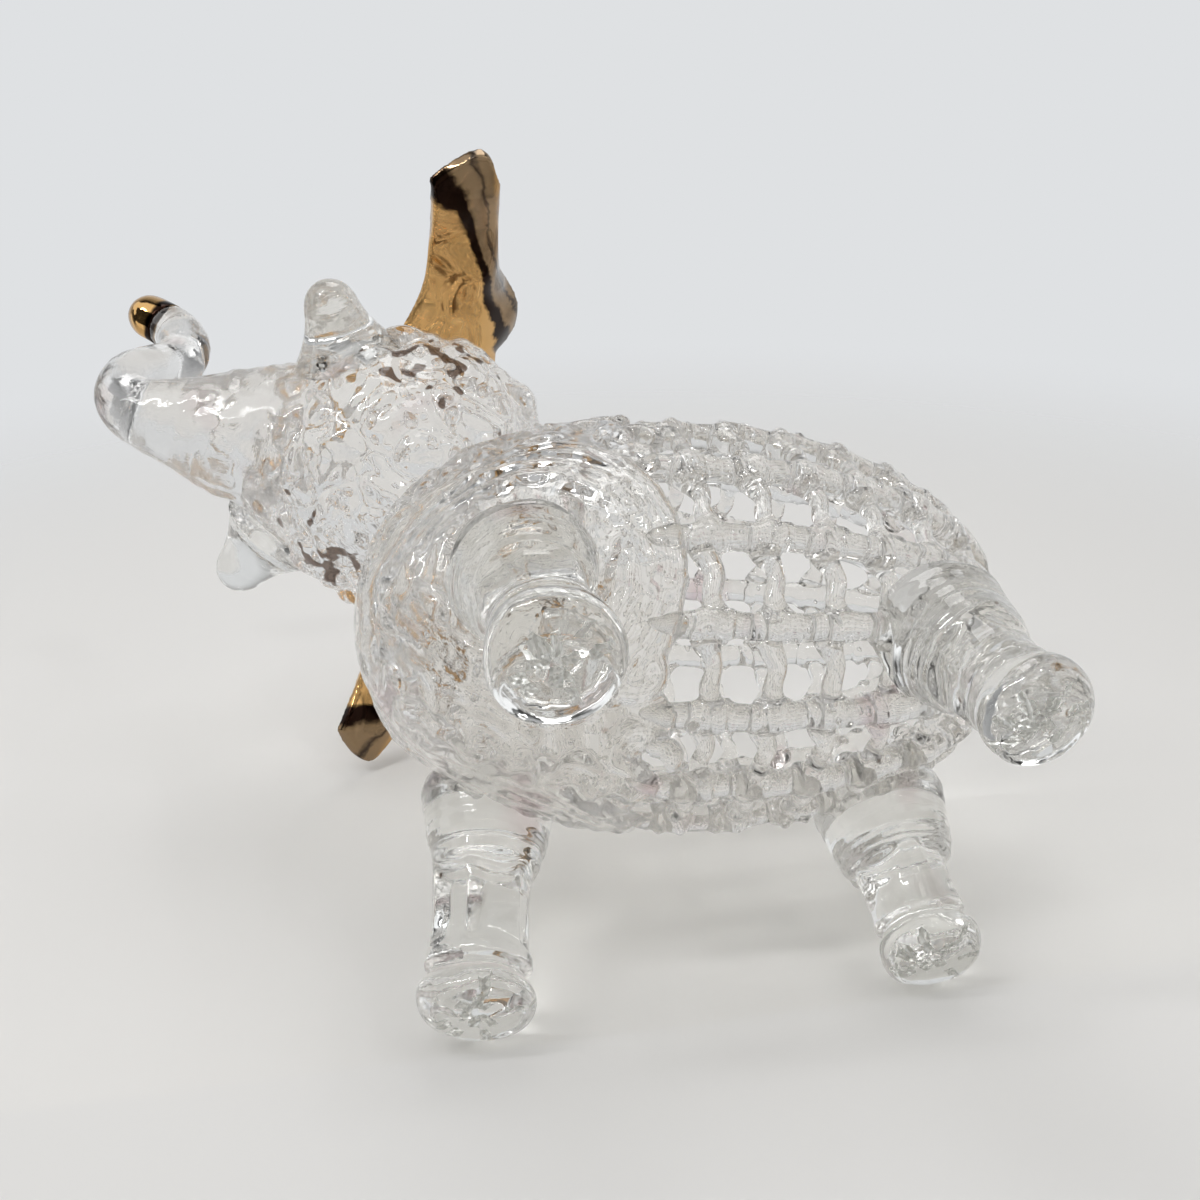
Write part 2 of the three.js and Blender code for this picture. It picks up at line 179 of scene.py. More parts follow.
class FigurineSizes(bpy.types.PropertyGroup):
    """Sizes of the drawn, wound and gilt glass."""

    rod_swell: length("Rod swell", "How much a long rod thickens where a rung joins it", 0.35 * MM)
    rod_wander: length("Rod wander", "How far a long rod strays from its course", 0.45 * MM)
    rod_tail: length("Rod tail", "How far a long rod runs on into the chest", 3.0 * MM)
    rung: length("Rung radius", "Half the thickness of a rung", 1.05 * MM)
    rung_foot: length("Rung foot", "Half the thickness of a rung where it is welded", 1.8 * MM)
    rung_swing: FloatProperty(
        name="Rung swing", description="Sideways swing as a share of the space it crosses",
        default=0.12, min=0, max=0.6, subtype="FACTOR",
    )
    collar: length("Collar radius", "Half the thickness of the thread twisted round each weld", 0.5 * MM)
    collar_run: length("Collar length", "How far the twisted thread runs along the long rod", 4.2 * MM)
    curl: length("Curl radius", "Half the thickness of the loose curls on the chest", 1.2 * MM)
    bead: length("Bead spacing", "Distance between the small blisters of the head", 4.4 * MM)
    bead_height: length("Bead height", "How far a blister of the head stands out", 0.8 * MM)
    fuse: length("Fusing size", "How finely the fused glass is meshed", 0.32 * MM)


class FigurineColours(bpy.types.PropertyGroup):
    """Colours of the glass, the gilding and the studio."""

    clear: colour("Clear glass", "Fire-polished clear glass", "#f8f8f6")
    spun: colour("Spun glass", "Drawn and wound rod", "#f8f7f5")
    rust: colour("Burnt fleck", "Flecks that the flame left", "#8a5a38")
    # Painted reflection: dark flecks by the left ear and on a cheek stand for dark things mirrored in
    # the head's glass
    painted_dark_reflection: colour("Painted dark reflection", "Dark flecks by an ear and on a cheek", "#3d2c22")
    blush: colour("Blush", "Faint pink cast in the glass", "#cfa3ad")
    gold: colour("Gold", "Gold lustre", "#dfb274")
    # Painted reflection: a dark part of the room mirrored in the gold, painted as a band across each ear
    # and the trunk tip, and as a thin stripe in an ear's lobe
    painted_dark_band: colour("Painted dark band", "Painted reflection of a dark room", "#22130c")
    smoke: colour("Smoke", "Thin lustre, half see-through", "#a58a68")
    floor: colour("Floor", "Pale tabletop", "#dddcda")
    backdrop: colour("Backdrop", "Pale backdrop", "#dfe1e3")


# Materials


def add_node(tree, kind, inputs=None, **settings):
    """Adds a shader node with its settings, and sets or links its inputs."""
    node = tree.nodes.new(kind)
    for name, value in settings.items():
        setattr(node, name, value)
    for name, value in (inputs or {}).items():
        socket = node.inputs[name]
        if isinstance(value, bpy.types.NodeSocket):
            tree.links.new(value, socket)
        else:
            socket.default_value = value
    return node


def grain(tree, spot, size, detail, roughness=0.5):
    """The value of a noise texture whose patches are about a size across."""
    inputs = {"Vector": spot, "Scale": 1 / size, "Detail": detail, "Roughness": roughness}
    return add_node(tree, "ShaderNodeTexNoise", inputs).outputs["Fac"]


def spread(tree, value, low, high, first=0.0, last=1.0, **settings):
    """A value that runs from first to last while another runs from low to high."""
    inputs = {"Value": value, "From Min": low, "From Max": high, "To Min": first, "To Max": last}
    return add_node(tree, "ShaderNodeMapRange", inputs, **settings).outputs["Result"]


def worked_out(tree, operation, *values, **settings):
    """The result of a Math node."""
    inputs = dict(enumerate(values))
    return add_node(tree, "ShaderNodeMath", inputs, operation=operation, **settings).outputs["Value"]


def tinted(tree, share, base, tint):
    """A base colour that gives way to a tint by a share."""
    inputs = {0: share, 6: base, 7: (*tint, 1)}
    return add_node(tree, "ShaderNodeMix", inputs, data_type="RGBA").outputs[2]


def bumped(tree, height, distance, **inputs):
    """A normal that rises and falls by a distance while a height runs from 0 to 1."""
    inputs.update(Height=height, Strength=1.0, Distance=distance)
    return add_node(tree, "ShaderNodeBump", inputs).outputs["Normal"]


def mixed(tree, share, shader, other):
    """A shader that gives way to another by a share."""
    return add_node(tree, "ShaderNodeMixShader", {0: share, 1: shader, 2: other}).outputs["Shader"]


def new_material(name):
    """An empty node material and its tree."""
    material = bpy.data.materials.new(name)
    material.use_nodes = True
    material.node_tree.nodes.clear()
    return material, material.node_tree


def lets_lamps_through(tree, shader, tint):
    """Ends a glass material so that its shadow is as light as that of real glass."""
    shadow = add_node(tree, "ShaderNodeLightPath").outputs["Is Shadow Ray"]
    clear = add_node(tree, "ShaderNodeBsdfTransparent", {"Color": (*tint, 1)}).outputs["BSDF"]
    surface = mixed(tree, shadow, shader.outputs["BSDF"], clear)
    add_node(tree, "ShaderNodeOutputMaterial", {"Surface": surface})


GLASS_INDEX = 1.5
GLASS_SHADOW = (0.72, 0.72, 0.71)
BUBBLE_SHADOW = (0.97, 0.97, 0.97)

# Each glass: its colour, whether it has flecks (the flame's burnt flecks and pink cast, and dark flecks
# painted as reflections), and in millimetres the space between its flow lines, their depth and the reach
# of the soft waves on its skin
GLASSES = {
    # Thin drawn rod is fire-polished, so it is nearly smooth, with long faint striae
    "drawn_glass_rod": ("spun", True, 1.1, 0.005, 2.2),
    # Rod wound hot: close flow lines that bend round the roots of the front legs
    "wound_glass_rod": ("spun", True, 0.6, 0.018, 2.6),
    # The same rod wound tighter: its rings read as closer and deeper lines
    "wound_glass_cap": ("spun", True, 0.3, 0.03, 2.2),
    # A gather pressed while hot: clear, with broad waves and faint rings
    "clear_pressed_glass": ("clear", True, 0.5, 0.008, 3.5),
    # Knobs dabbed on one by one: deep waves and short lines that scatter what lies behind
    "wound_and_knobbed_glass": ("spun", True, 0.4, 0.03, 3.2),
    # A short pull of clear glass: broad waves, and nothing burnt in it
    "clear_drawn_glass": ("clear", False, 0.5, 0.02, 4),
}


def glass(name, colours):
    """Clear glass with striae as fine grooves, and soft waves that the flame left.

    The flow attribute runs along and round each rod, so streaks follow the drawn glass.
    """
    shade, flecks, streak, groove, waviness = GLASSES[name]
    tint = getattr(colours, shade)
    material, tree = new_material(name)
    spot = add_node(tree, "ShaderNodeTexCoord").outputs["Object"]
    flow = add_node(tree, "ShaderNodeAttribute", attribute_name="flow").outputs["Vector"]
    lines = grain(tree, flow, streak * MM, 2.0, 0.6)
    rippled = bumped(tree, grain(tree, spot, waviness * MM, 1.0), 0.06 * (waviness * MM))
    shader = add_node(
        tree, "ShaderNodeBsdfPrincipled",
        {"Base Color": flecked(tree, spot, (*tint, 1), colours) if flecks else (*tint, 1),
         "Roughness": 0.0, "IOR": GLASS_INDEX, "Transmission Weight": 1.0,
         "Normal": bumped(tree, lines, groove * MM, Normal=rippled)},
    )
    lets_lamps_through(tree, shader, GLASS_SHADOW)
    return material


def flecked(tree, spot, base, colours):
    """Base colour with a faint pink cast, burnt flecks, and dark flecks painted as reflections where an
    attribute marks them.
    """
    cast = spread(tree, grain(tree, spot, 7 * MM, 0.0), 0.70, 0.84, last=0.4)
    burnt = spread(tree, grain(tree, spot, 2.2 * MM, 2.0), 0.74, 0.82, last=0.7)
    # Painted reflection: dark flecks in the two patches that the attribute marks on the head
    near = add_node(tree, "ShaderNodeAttribute", attribute_name="painted_dark_reflection").outputs["Fac"]
    edge = worked_out(tree, "MULTIPLY_ADD", near, 0.3, grain(tree, spot, 2.6 * MM, 1.0))
    blushed = tinted(tree, cast, base, colours.blush)
    spotted = tinted(tree, burnt, blushed, colours.rust)
    return tinted(tree, spread(tree, edge, 0.78, 0.81), spotted, colours.painted_dark_reflection)


def gold_lustre(colours):
    """Gold lustre fired onto glass: a mirror film, with a dark band painted across it as a reflection of
    a dark part of the room.

    The leaf attribute gives how far a place is above the dark band of an ear. There the film turns
    thin and smoky, and what lies behind shows through it.
    """
    material, tree = new_material("gold_lustre_on_glass")
    spot = add_node(tree, "ShaderNodeTexCoord").outputs["Object"]
    over = add_node(tree, "ShaderNodeAttribute", attribute_name="leaf").outputs["Fac"]
    strayed = worked_out(tree, "MULTIPLY_ADD", grain(tree, spot, 5 * MM, 2.0), 0.3, over)
    tone = add_node(tree, "ShaderNodeValToRGB", {"Fac": strayed})
    ramp = tone.color_ramp
    # The dark stops paint a reflection of a dark part of the room: a band across the leaf and a thin
    # stripe in its smoky lobe
    stops = (
        (0.00, colours.gold), (0.40, colours.gold), (0.44, colours.painted_dark_band), (0.54, colours.painted_dark_band),
        (0.58, colours.smoke), (0.70, colours.smoke), (0.74, colours.painted_dark_band), (0.78, colours.smoke),
        (0.90, colours.smoke), (1.00, colours.gold),
    )
    ramp.elements[0].position, ramp.elements[1].position = stops[0][0], stops[-1][0]
    for position, _ in stops[1:-1]:
        ramp.elements.new(position)
    for element, (_, tint) in zip(ramp.elements, stops):
        element.color = (*tint, 1)
    shader = add_node(
        tree, "ShaderNodeBsdfPrincipled",
        {"Base Color": tone.outputs["Color"], "Metallic": spread(tree, strayed, 0.54, 0.62, 0.95, 0.45),
         "Roughness": 0.1, "Transmission Weight": 0.8, "IOR": GLASS_INDEX,
         "Normal": bumped(tree, grain(tree, spot, 7 * MM, 0.0), 2.0 * MM)},
    )
    add_node(tree, "ShaderNodeOutputMaterial", {"Surface": shader.outputs["BSDF"]})
    return material


def crackle_film(colours):
    """The skin of a crack inside crackled glass: a silvery glint, mostly see-through."""
    material, tree = new_material("crackle_inside_pressed_glass")
    spot = add_node(tree, "ShaderNodeTexCoord").outputs["Object"]
    seen = spread(tree, grain(tree, spot, 0.9 * MM, 3.0), 0.34, 0.52, 0.05, 0.95)
    shader = add_node(
        tree, "ShaderNodeBsdfPrincipled",
        {"Base Color": (*colours.clear, 1), "Metallic": 1.0, "Roughness": 0.3, "Alpha": seen},
    )
    add_node(tree, "ShaderNodeOutputMaterial", {"Surface": shader.outputs["BSDF"]})
    return material


def air_in_glass():
    """Air inside the glass: light meets it as glass turned inside out, so a bubble has a dark rim."""
    material, tree = new_material("air_bubble_in_glass")
    shader = add_node(
        tree, "ShaderNodeBsdfPrincipled",
        {"Base Color": (1, 1, 1, 1), "Roughness": 0.0, "IOR": 1 / GLASS_INDEX,
         "Transmission Weight": 1.0},
    )
    lets_lamps_through(tree, shader, BUBBLE_SHADOW)
    return material


# Forms

# A bubble's breadth, depth and length as shares of its size, the length along the drawn glass
BUBBLE_SHAPE = (0.8, 1, 1.35, 1)


def in_scene(name, data):
    """A new object in the scene."""
    thing = bpy.data.objects.new(name, data)
    bpy.context.scene.collection.objects.link(thing)
    return thing


def new_piece(name, mesh, material, slot, *nodes):
    """Puts a piece in the scene in place of the frame's nodes that it stands for."""
    mesh.materials.append(material)
    piece = in_scene(name, mesh)
    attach(piece, "root")
    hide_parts(*nodes)
    return piece


def set_inside(piece, name, mesh, material):
    """Puts what lies inside a piece's glass in the scene, as the piece's child."""
    mesh.materials.append(material)
    in_scene(name, mesh).parent = piece


def shares(steps):
    """Even shares from 0 to 1."""
    return [i / steps for i in range(steps + 1)]


def upright(way):
    """The turn that takes the upward direction to another one."""
    return Vector((0, 0, 1)).rotation_difference(way).to_matrix().to_4x4()


def moved(form, matrix):
    """A bmesh after a move of all of it."""
    bmesh.ops.transform(form, verts=form.verts, matrix=matrix)
    return form


def finder(spots):
    """A search tree of places."""
    tree = kdtree.KDTree(len(spots))
    for i, spot in enumerate(spots):
        tree.insert(spot, i)
    tree.balance()
    return tree


def mark(mesh, name, kind, value_at):
    """Stores what each vertex's place gives, a FLOAT or a FLOAT_VECTOR, as an attribute."""
    field = "value" if kind == "FLOAT" else "vector"
    for vertex, item in zip(mesh.vertices, mesh.attributes.new(name, kind, "POINT").data):
        setattr(item, field, value_at(vertex.co))


def add_bubbles(piece, bubbles, material):
    """Puts air bubbles inside a piece; each is a place, a radius and the way it was drawn out."""
    form = bmesh.new()
    for spot, radius, way in bubbles:
        ball = bmesh.ops.create_icosphere(form, subdivisions=2, radius=radius)["verts"]
        shape = Matrix.Translation(spot) @ upright(way) @ Matrix.Diagonal(BUBBLE_SHAPE)
        bmesh.ops.transform(form, verts=ball, matrix=shape)
    mesh = to_mesh(form, f"{piece.name}_bubbles")
    mesh.shade_smooth()
    set_inside(piece, mesh.name, mesh, material)


def baked(shape, *steps):
    """The mesh of a shape after modifiers, each given as a kind and its settings."""
    carrier = in_scene("carrier", shape)
    for kind, settings in steps:
        modifier = carrier.modifiers.new(kind, kind)
        for name, value in settings.items():
            setattr(modifier, name, value)
    depsgraph = bpy.context.evaluated_depsgraph_get()
    mesh = bpy.data.meshes.new_from_object(carrier.evaluated_get(depsgraph))
    bpy.data.objects.remove(carrier)
    return mesh


def fused(shape, size, polish):
    """Melts overlapping rods and knobs into one skin and lets the flame smooth it."""
    mesh = baked(
        shape,
        ("REMESH", {"mode": "VOXEL", "voxel_size": size}),
        ("SMOOTH", {"factor": 0.5, "iterations": polish}),
    )
    mesh.shade_smooth()
    return mesh


def rods(routes, sides=3):
    """A mesh of drawn rods; each route is a list of places with the rod's radius there."""
    drawn = bpy.data.curves.new("rods", "CURVE")
    drawn.dimensions = "3D"
    drawn.bevel_depth = 1.0
    drawn.bevel_resolution = sides
    drawn.use_fill_caps = True
    for route in routes:
        spline = drawn.splines.new("POLY")
        spline.points.add(len(route) - 1)
        for point, (spot, radius) in zip(spline.points, route):
            point.co = (*spot, 1)
            point.radius = radius
    return baked(drawn)


def mark_flow(mesh, routes, stretch=10.0):
    """Stores where each vertex is round its rod and along it, for streaks that follow the glass."""
    samples = []
    for route in routes:
        run = 0.0
        for (a, _), (b, _) in zip(route, route[1:]):
            samples.append((a, (b - a).normalized(), run))
            run += (b - a).length
    tree = finder([spot for spot, _, _ in samples])
    middle = place(0, 0, BODY_HEIGHT)

    def flow(spot):
        near, along, run = samples[tree.find(spot)[1]]
        offset = spot - near
        side = along.cross(near - middle).normalized()
        up = side.cross(along)
        return offset.dot(side), offset.dot(up), (run + offset.dot(along)) / stretch

    mark(mesh, "flow", "FLOAT_VECTOR", flow)


def swirl(mesh, centre, axis, stretch=14.0):
    """Stores how far each vertex is from an axis and along it, for streaks that run round it."""
    side = axis.cross(ASIDE).normalized()

    def flow(spot):
        offset = spot - centre
        step = offset.dot(axis)
        return (offset - step * axis).length, step, offset.dot(side) / stretch

    mark(mesh, "flow", "FLOAT_VECTOR", flow)


def drift(spot):
    """A smooth vector that changes with the place, made of three noises so that it never varies."""
    return Vector([noise.noise(spot + Vector((17.3 * i, 5.1 * i, 9.7))) for i in range(3)])


def wander(spot, scale, amount, seed):
    """A smooth stray offset of a place."""
    return drift(spot / scale + Vector((seed + 0.37, 0, 0))) * amount


def spun_form(profile, steps):
    """A closed form spun about Z from (radius, height) pairs that start and end on the axis."""
    form = bmesh.new()
    line = [form.verts.new((radius, 0, height)) for radius, height in profile]
    edges = [form.edges.new(pair) for pair in zip(line, line[1:])]
    bmesh.ops.spin(
        form, geom=line + edges, cent=(0, 0, 0), axis=(0, 0, 1),
        angle=2 * math.pi, steps=steps, use_merge=True,
    )
    bmesh.ops.remove_doubles(form, verts=form.verts, dist=1e-7)
    bmesh.ops.recalc_face_normals(form, faces=form.faces)
    return form


def to_mesh(form, name="form"):
    """The mesh of a bmesh, which is freed."""
    mesh = bpy.data.meshes.new(name)
    form.to_mesh(mesh)
    form.free()
    return mesh


def end_outline(rim, pole, steps, swell_at):
    """Outline of one end of the barrel from its rim to the pole, as (radius, distance) pairs."""
    rim_turn = math.acos(abs(rim / pole))
    outline = []
    for i in range(steps + 1):
        turn = rim_turn * (steps - i) / steps
        swell = swell_at(i / steps)
        distance = pole * math.cos(turn)
        radius = HALF_HEIGHT * fullness(distance) + swell * math.sin(turn)
        outward = math.copysign(swell, pole) * math.cos(turn)
        outline.append((0.0 if i == steps else radius, distance + outward))
    return outline


def lay_along_body(form):
    """Turns a form spun about Z so that it lies along the body, and squeezes it to the barrel."""
    squeeze = Matrix.Diagonal((HALF_WIDTH / HALF_HEIGHT, 1, 1, 1))
    lay = Matrix.Rotation(math.pi / 2, 4, "X")
    return moved(form, Matrix.Translation(place(0, 0, BODY_HEIGHT)) @ lay @ squeeze)


def barrel_form(outward):
    """The barrel's skin as a closed mesh, grown outward, to seat what is welded to the body."""
    front = end_outline(0, HALF_LENGTH, 24, lambda share: outward)
    rear = end_outline(0, -HALF_LENGTH, 24, lambda share: outward)
    return to_mesh(lay_along_body(spun_form(rear[::-1] + front[1:], 64)), "barrel")


def cut_by(mesh, cutter_mesh):
    """A mesh with the cutter's form taken away."""
    cutter = in_scene("cutter", cutter_mesh)
    result = baked(mesh, ("BOOLEAN", {"operation": "DIFFERENCE", "solver": "EXACT", "object": cutter}))
    bpy.data.objects.remove(cutter)
    return result


def keep_largest(mesh):
    """Takes loose chips off a mesh, so that one body is left."""
    form = bmesh.new()
    form.from_mesh(mesh)
    left = set(form.verts)
    bodies = []
    while left:
        stack = [left.pop()]
        body = set(stack)
        while stack:
            for edge in stack.pop().link_edges:
                for vertex in edge.verts:
                    if vertex in left:
                        left.remove(vertex)
                        body.add(vertex)
                        stack.append(vertex)
        bodies.append(body)
    bodies.sort(key=len)
    chips = [vertex for body in bodies[:-1] for vertex in body]
    bmesh.ops.delete(form, geom=chips, context="VERTS")
    form.to_mesh(mesh)
    form.free()
    return mesh


# Spun lattice


def turn_of(course):
    """How far round the barrel a course lies."""
    return (course + COURSE_PHASE) * COURSE_TURN


def stringer_spacing(distance, course):
    """Straight distance between a long rod and the next one round."""
    turn = turn_of(course)
    return (on_barrel(distance, turn) - on_barrel(distance, turn + COURSE_TURN)).length


def rung_middles():
    """Where the rungs of a course stand along the barrel."""
    first = LATTICE_REAR + RUNG_REAR_MARGIN
    pitch = (LATTICE_FRONT - RUNG_FRONT_MARGIN - first) / (RUNGS - 1)
    return [first + i * pitch for i in range(RUNGS)]


def stringer_route(course, sizes):
    """The long rod of a course: a little wavy, swollen at the rungs, its tail sunk into the chest."""
    turn = turn_of(course)
    start = LATTICE_REAR - 2 * WELD
    end = LATTICE_FRONT + sizes.rod_tail
    route = []
    for i in range(ROD_STEPS + 1):
        distance = start + (end - start) * i / ROD_STEPS
        near = min(abs(distance - middle) for middle in rung_middles())
        swell = sizes.rod_swell * math.exp(-((near / (1.6 * MM)) ** 2))
        tail = max(0, (distance - LATTICE_FRONT) / sizes.rod_tail)
        spot = on_barrel(distance, turn, -0.9 * ROD * tail**2)
        spot += wander(spot, 7 * MM, sizes.rod_wander, course)
        thick = 1 + 0.08 * noise.noise(spot / (5 * MM)) + 0.10 * noise.noise(spot / (1.5 * MM))
        route.append((spot, ROD * (thick - 0.7 * tail**2) + swell))
    return route


def rung_route(course, middle, sizes):
    """An S-shaped rung from the heart of its own long rod into the side of the next."""
    spacing = stringer_spacing(middle, course)
    clear = spacing - 2 * ROD
    reach = (spacing - ROD + WELD) / spacing
    route = []
    for share in shares(RUNG_STEPS):
        curl = math.sin(2 * math.pi * share) * math.sin(math.pi * share)
        sway = 0.25 * clear * (3 * share**2 - 2 * share**3 - 0.5) + sizes.rung_swing * clear * curl
        spot = on_barrel(middle + sway, (course + COURSE_PHASE + reach * share) * COURSE_TURN)
        spot += wander(spot, 6 * MM, 0.25 * MM, 40 + course)
        flare = abs(2 * share - 1) ** 3
        thick = sizes.rung + (sizes.rung_foot - sizes.rung) * flare
        route.append((spot, thick * (1 + 0.2 * noise.noise(spot / (2.4 * MM)))))
    return route


def collar_route(course, middle, sizes):
    """A thin thread twisted round the long rod where a rung is welded to it."""
    turn = turn_of(course)
    girth = HALF_HEIGHT * fullness(middle)
    start = 7 * noise.noise(Vector((course, middle / (9 * MM), 5)))
    route = []
    for share in shares(RUNG_STEPS):
        angle = start + COLLAR_SWEEP * share
        run = middle + (share - 0.5) * sizes.collar_run
        reach = ROD + 0.5 * sizes.rod_swell - 0.1 * MM
        spot = on_barrel(run, turn + reach * math.sin(angle) / girth, reach * math.cos(angle))
        route.append((spot, sizes.collar * (1 + 0.3 * math.sin(math.pi * share))))
    return route


def weld_bubbles(course):
    """Small bubbles in the heart of a long rod, near each rung that is welded to it."""
    chance = random.Random(course)
    turn = turn_of(course)
    bubbles = []
    for middle in rung_middles():
        for _ in range(chance.randint(1, 3)):
            aside = chance.uniform(-3.4, 3.4) * MM
            around = turn + chance.uniform(-0.03, 0.03)
            spot = on_barrel(middle + aside, around, chance.uniform(-0.8, 0.8) * MM)
            bubbles.append((spot, chance.uniform(0.1, 0.36) * MM, Vector((0, 1, 0))))
    return bubbles


class FIGURINE_OT_lattice(bpy.types.Operator):
    """Draws the 15 courses of the lattice: a long rod each, its rungs and the threads at their welds"""

    bl_idname = "figurine.lattice"
    bl_label = "Spun lattice"

    def execute(self, context):
        sizes = context.scene.figurine_sizes
        drawn = glass("drawn_glass_rod", context.scene.figurine_colours)
        air = air_in_glass()
        for course in range(COURSES):
            routes = [stringer_route(course, sizes)]
            routes += [rung_route(course, middle, sizes) for middle in rung_middles()]
            routes += [collar_route(course, middle, sizes) for middle in rung_middles()]
            mesh = keep_largest(fused(rods(routes), sizes.fuse, 3))
            mark_flow(mesh, routes)
            number = f"{course + 1:02d}"
            piece = new_piece(
                f"spun_course_{number}", mesh, drawn, "spun_glass", f"lattice_course_{number}",
            )
            add_bubbles(piece, weld_bubbles(course), air)
        return {"FINISHED"}


# Wound chest and rump


def chest_bowl():
    """The bowl of the chest: coils side by side that waver as they run round, and an arched rim."""
    rim = LATTICE_FRONT + WELD
    outer = end_outline(
        rim, HALF_LENGTH, 8 * CHEST_COILS,
        lambda share: ROD - COIL_DEPTH * math.cos(math.pi * CHEST_COILS * share) ** 2,
    )
    inner = end_outline(
        rim, HALF_LENGTH, 24, lambda share: ROD - CHEST_WALL * (0.4 + 0.6 * min(1, 4 * share)),
    )
    lip = [((inner[0][0] + outer[0][0]) / 2, rim - 2 * WELD)]
    form = lay_along_body(spun_form(inner[::-1] + lip + outer, 144))
    for vertex in form.verts:
        distance = ORIGIN.y - vertex.co.y
        left = vertex.co.x - ORIGIN.x
        height = vertex.co.z - BODY_HEIGHT
        turn = math.atan2(height / HALF_HEIGHT, left / HALF_WIDTH)
        share = min(max((distance - rim) / (HALF_LENGTH - rim), 0), 1)
        shift = COIL_WAVE_REACH * math.sin(math.pi * share) * math.sin(COIL_WAVES * turn)
        arch = 0.5 - 0.5 * math.cos(2 * math.pi * (turn / COURSE_TURN - COURSE_PHASE))
        round_rim = Vector((math.cos(turn), math.sin(turn), 0))
        stray = RIM_ARCH * arch + RIM_STRAY * noise.noise(4 * round_rim)
        shift += stray * max(0, 1 - share / 0.25)
        full = fullness(distance)
        grown = fullness(distance + shift) / full if full > 0 else 1
        vertex.co = place(distance + shift, left * grown, BODY_HEIGHT + height * grown)
    return form


def on_chest(distance, turn, outward):
    """A point on the chest's skin, kept between its rim and its pole."""
    kept = min(max(distance, LATTICE_FRONT - ROD), 0.985 * HALF_LENGTH)
    return on_barrel(kept, turn, outward)


def loop_route(distance, turn, reach, start, sweep, radius, seed):
    """A rod laid on the chest in a loop of a given reach about a place on its skin."""
    girth = HALF_HEIGHT * fullness(distance)
    route = []
    lift = ROD - 0.75 * radius
    for i in range(LOOP_STEPS + 1):
        angle = start + sweep * i / LOOP_STEPS
        spot = on_chest(distance + reach * math.cos(angle), turn + reach * math.sin(angle) / girth, lift)
        spot += wander(spot, 4 * MM, 0.35 * MM, seed)
        route.append((spot, radius * (1 + 0.3 * noise.noise(spot / (2 * MM)))))
    return route


def chest_loops(sizes):
    """Loops of rod round the roots of the front legs, a curl in each arch of the rim, loose curls."""
    routes = []
    for mirror in (1, -1):
        turn = -LEG_ROOT_TURN if mirror > 0 else math.pi + LEG_ROOT_TURN
        for i, reach in enumerate(LEG_ROOT_LOOPS):
            start = 0.9 * noise.noise(Vector((i, mirror, 0)))
            routes.append(
                loop_route(LEG_ROOT, turn, reach * MM, start, 2 * math.pi, sizes.curl, 10 * i + mirror)
            )
    for i in range(COURSES):
        turn = (i + COURSE_PHASE + 0.5) * COURSE_TURN
        reach = (1.6 + 0.6 * math.sin(i**2)) * MM
        distance = LATTICE_FRONT + (3.0 + 1.6 * math.sin(3 * i)) * MM
        routes.append(loop_route(distance, turn, reach, 1.3 * i, 3.6, sizes.curl, 20 + i))
    for i in range(LOOSE_CURLS):
        distance = LATTICE_FRONT + 3 * MM + (0.9 * HALF_LENGTH - LATTICE_FRONT) * i / LOOSE_CURLS
        start = 2.4 * i
        reach = (1.7 + 1.3 * math.sin(i**2) ** 2) * MM
        routes.append(loop_route(distance, GOLDEN_TURN * i, reach, start, 4.2, 0.9 * sizes.curl, 50 + i))
    return routes


def mark_streams(mesh, eddies, stretch=14.0):
    """Stores lines that run round the body and bend round each eddy's axis, for the streaks."""

    def flow(spot):
        stream = ORIGIN.y - spot.y
        for centre, axis in eddies:
            offset = spot - centre
            near = (offset - offset.dot(axis) * axis).length
            pull = math.exp(-((near / EDDY_REACH) ** 4))
            stream += (near - stream) * pull
        stream += 1.6 * MM * noise.noise(spot / (6 * MM)) + 0.5 * MM * noise.noise(spot / (2.2 * MM))
        return stream, spot.z / stretch, spot.x / stretch

    mark(mesh, "flow", "FLOAT_VECTOR", flow)


def wall_bubbles():
    """Bubbles in the wall of the chest, drawn out round the body."""
    chance = random.Random(7)
    bubbles = []
    for i in range(WALL_BUBBLES):
        distance = chance.uniform(LATTICE_FRONT + 4 * MM, 0.93 * HALF_LENGTH)
        turn = GOLDEN_TURN * i
        spot = on_barrel(distance, turn, chance.uniform(-0.9, 0.5) * MM)
        way = Vector((-math.sin(turn), 0, math.cos(turn)))
        bubbles.append((spot, chance.uniform(0.2, 0.5) * MM, way))
    return bubbles


class FIGURINE_OT_chest(bpy.types.Operator):
    """Winds the chest as a hollow bowl of glass rod, open to the lattice"""

    bl_idname = "figurine.chest"
    bl_label = "Wound chest"

    def execute(self, context):
        sizes = context.scene.figurine_sizes
        wound = glass("wound_glass_rod", context.scene.figurine_colours)
        form = chest_bowl()
        form.from_mesh(rods(chest_loops(sizes)))
        mesh = keep_largest(fused(to_mesh(form), 1.15 * sizes.fuse, 2))
        eddies = []
        for mirror in (1, -1):
            foot, root = leg_ends(LEGS["front"], mirror)
            eddies.append((root, (root - foot).normalized()))
        mark_streams(mesh, eddies)
        piece = new_piece("wound_chest_bowl", mesh, wound, "spun_glass", "wound_chest")
        add_bubbles(piece, wall_bubbles(), air_in_glass())
        return {"FINISHED"}


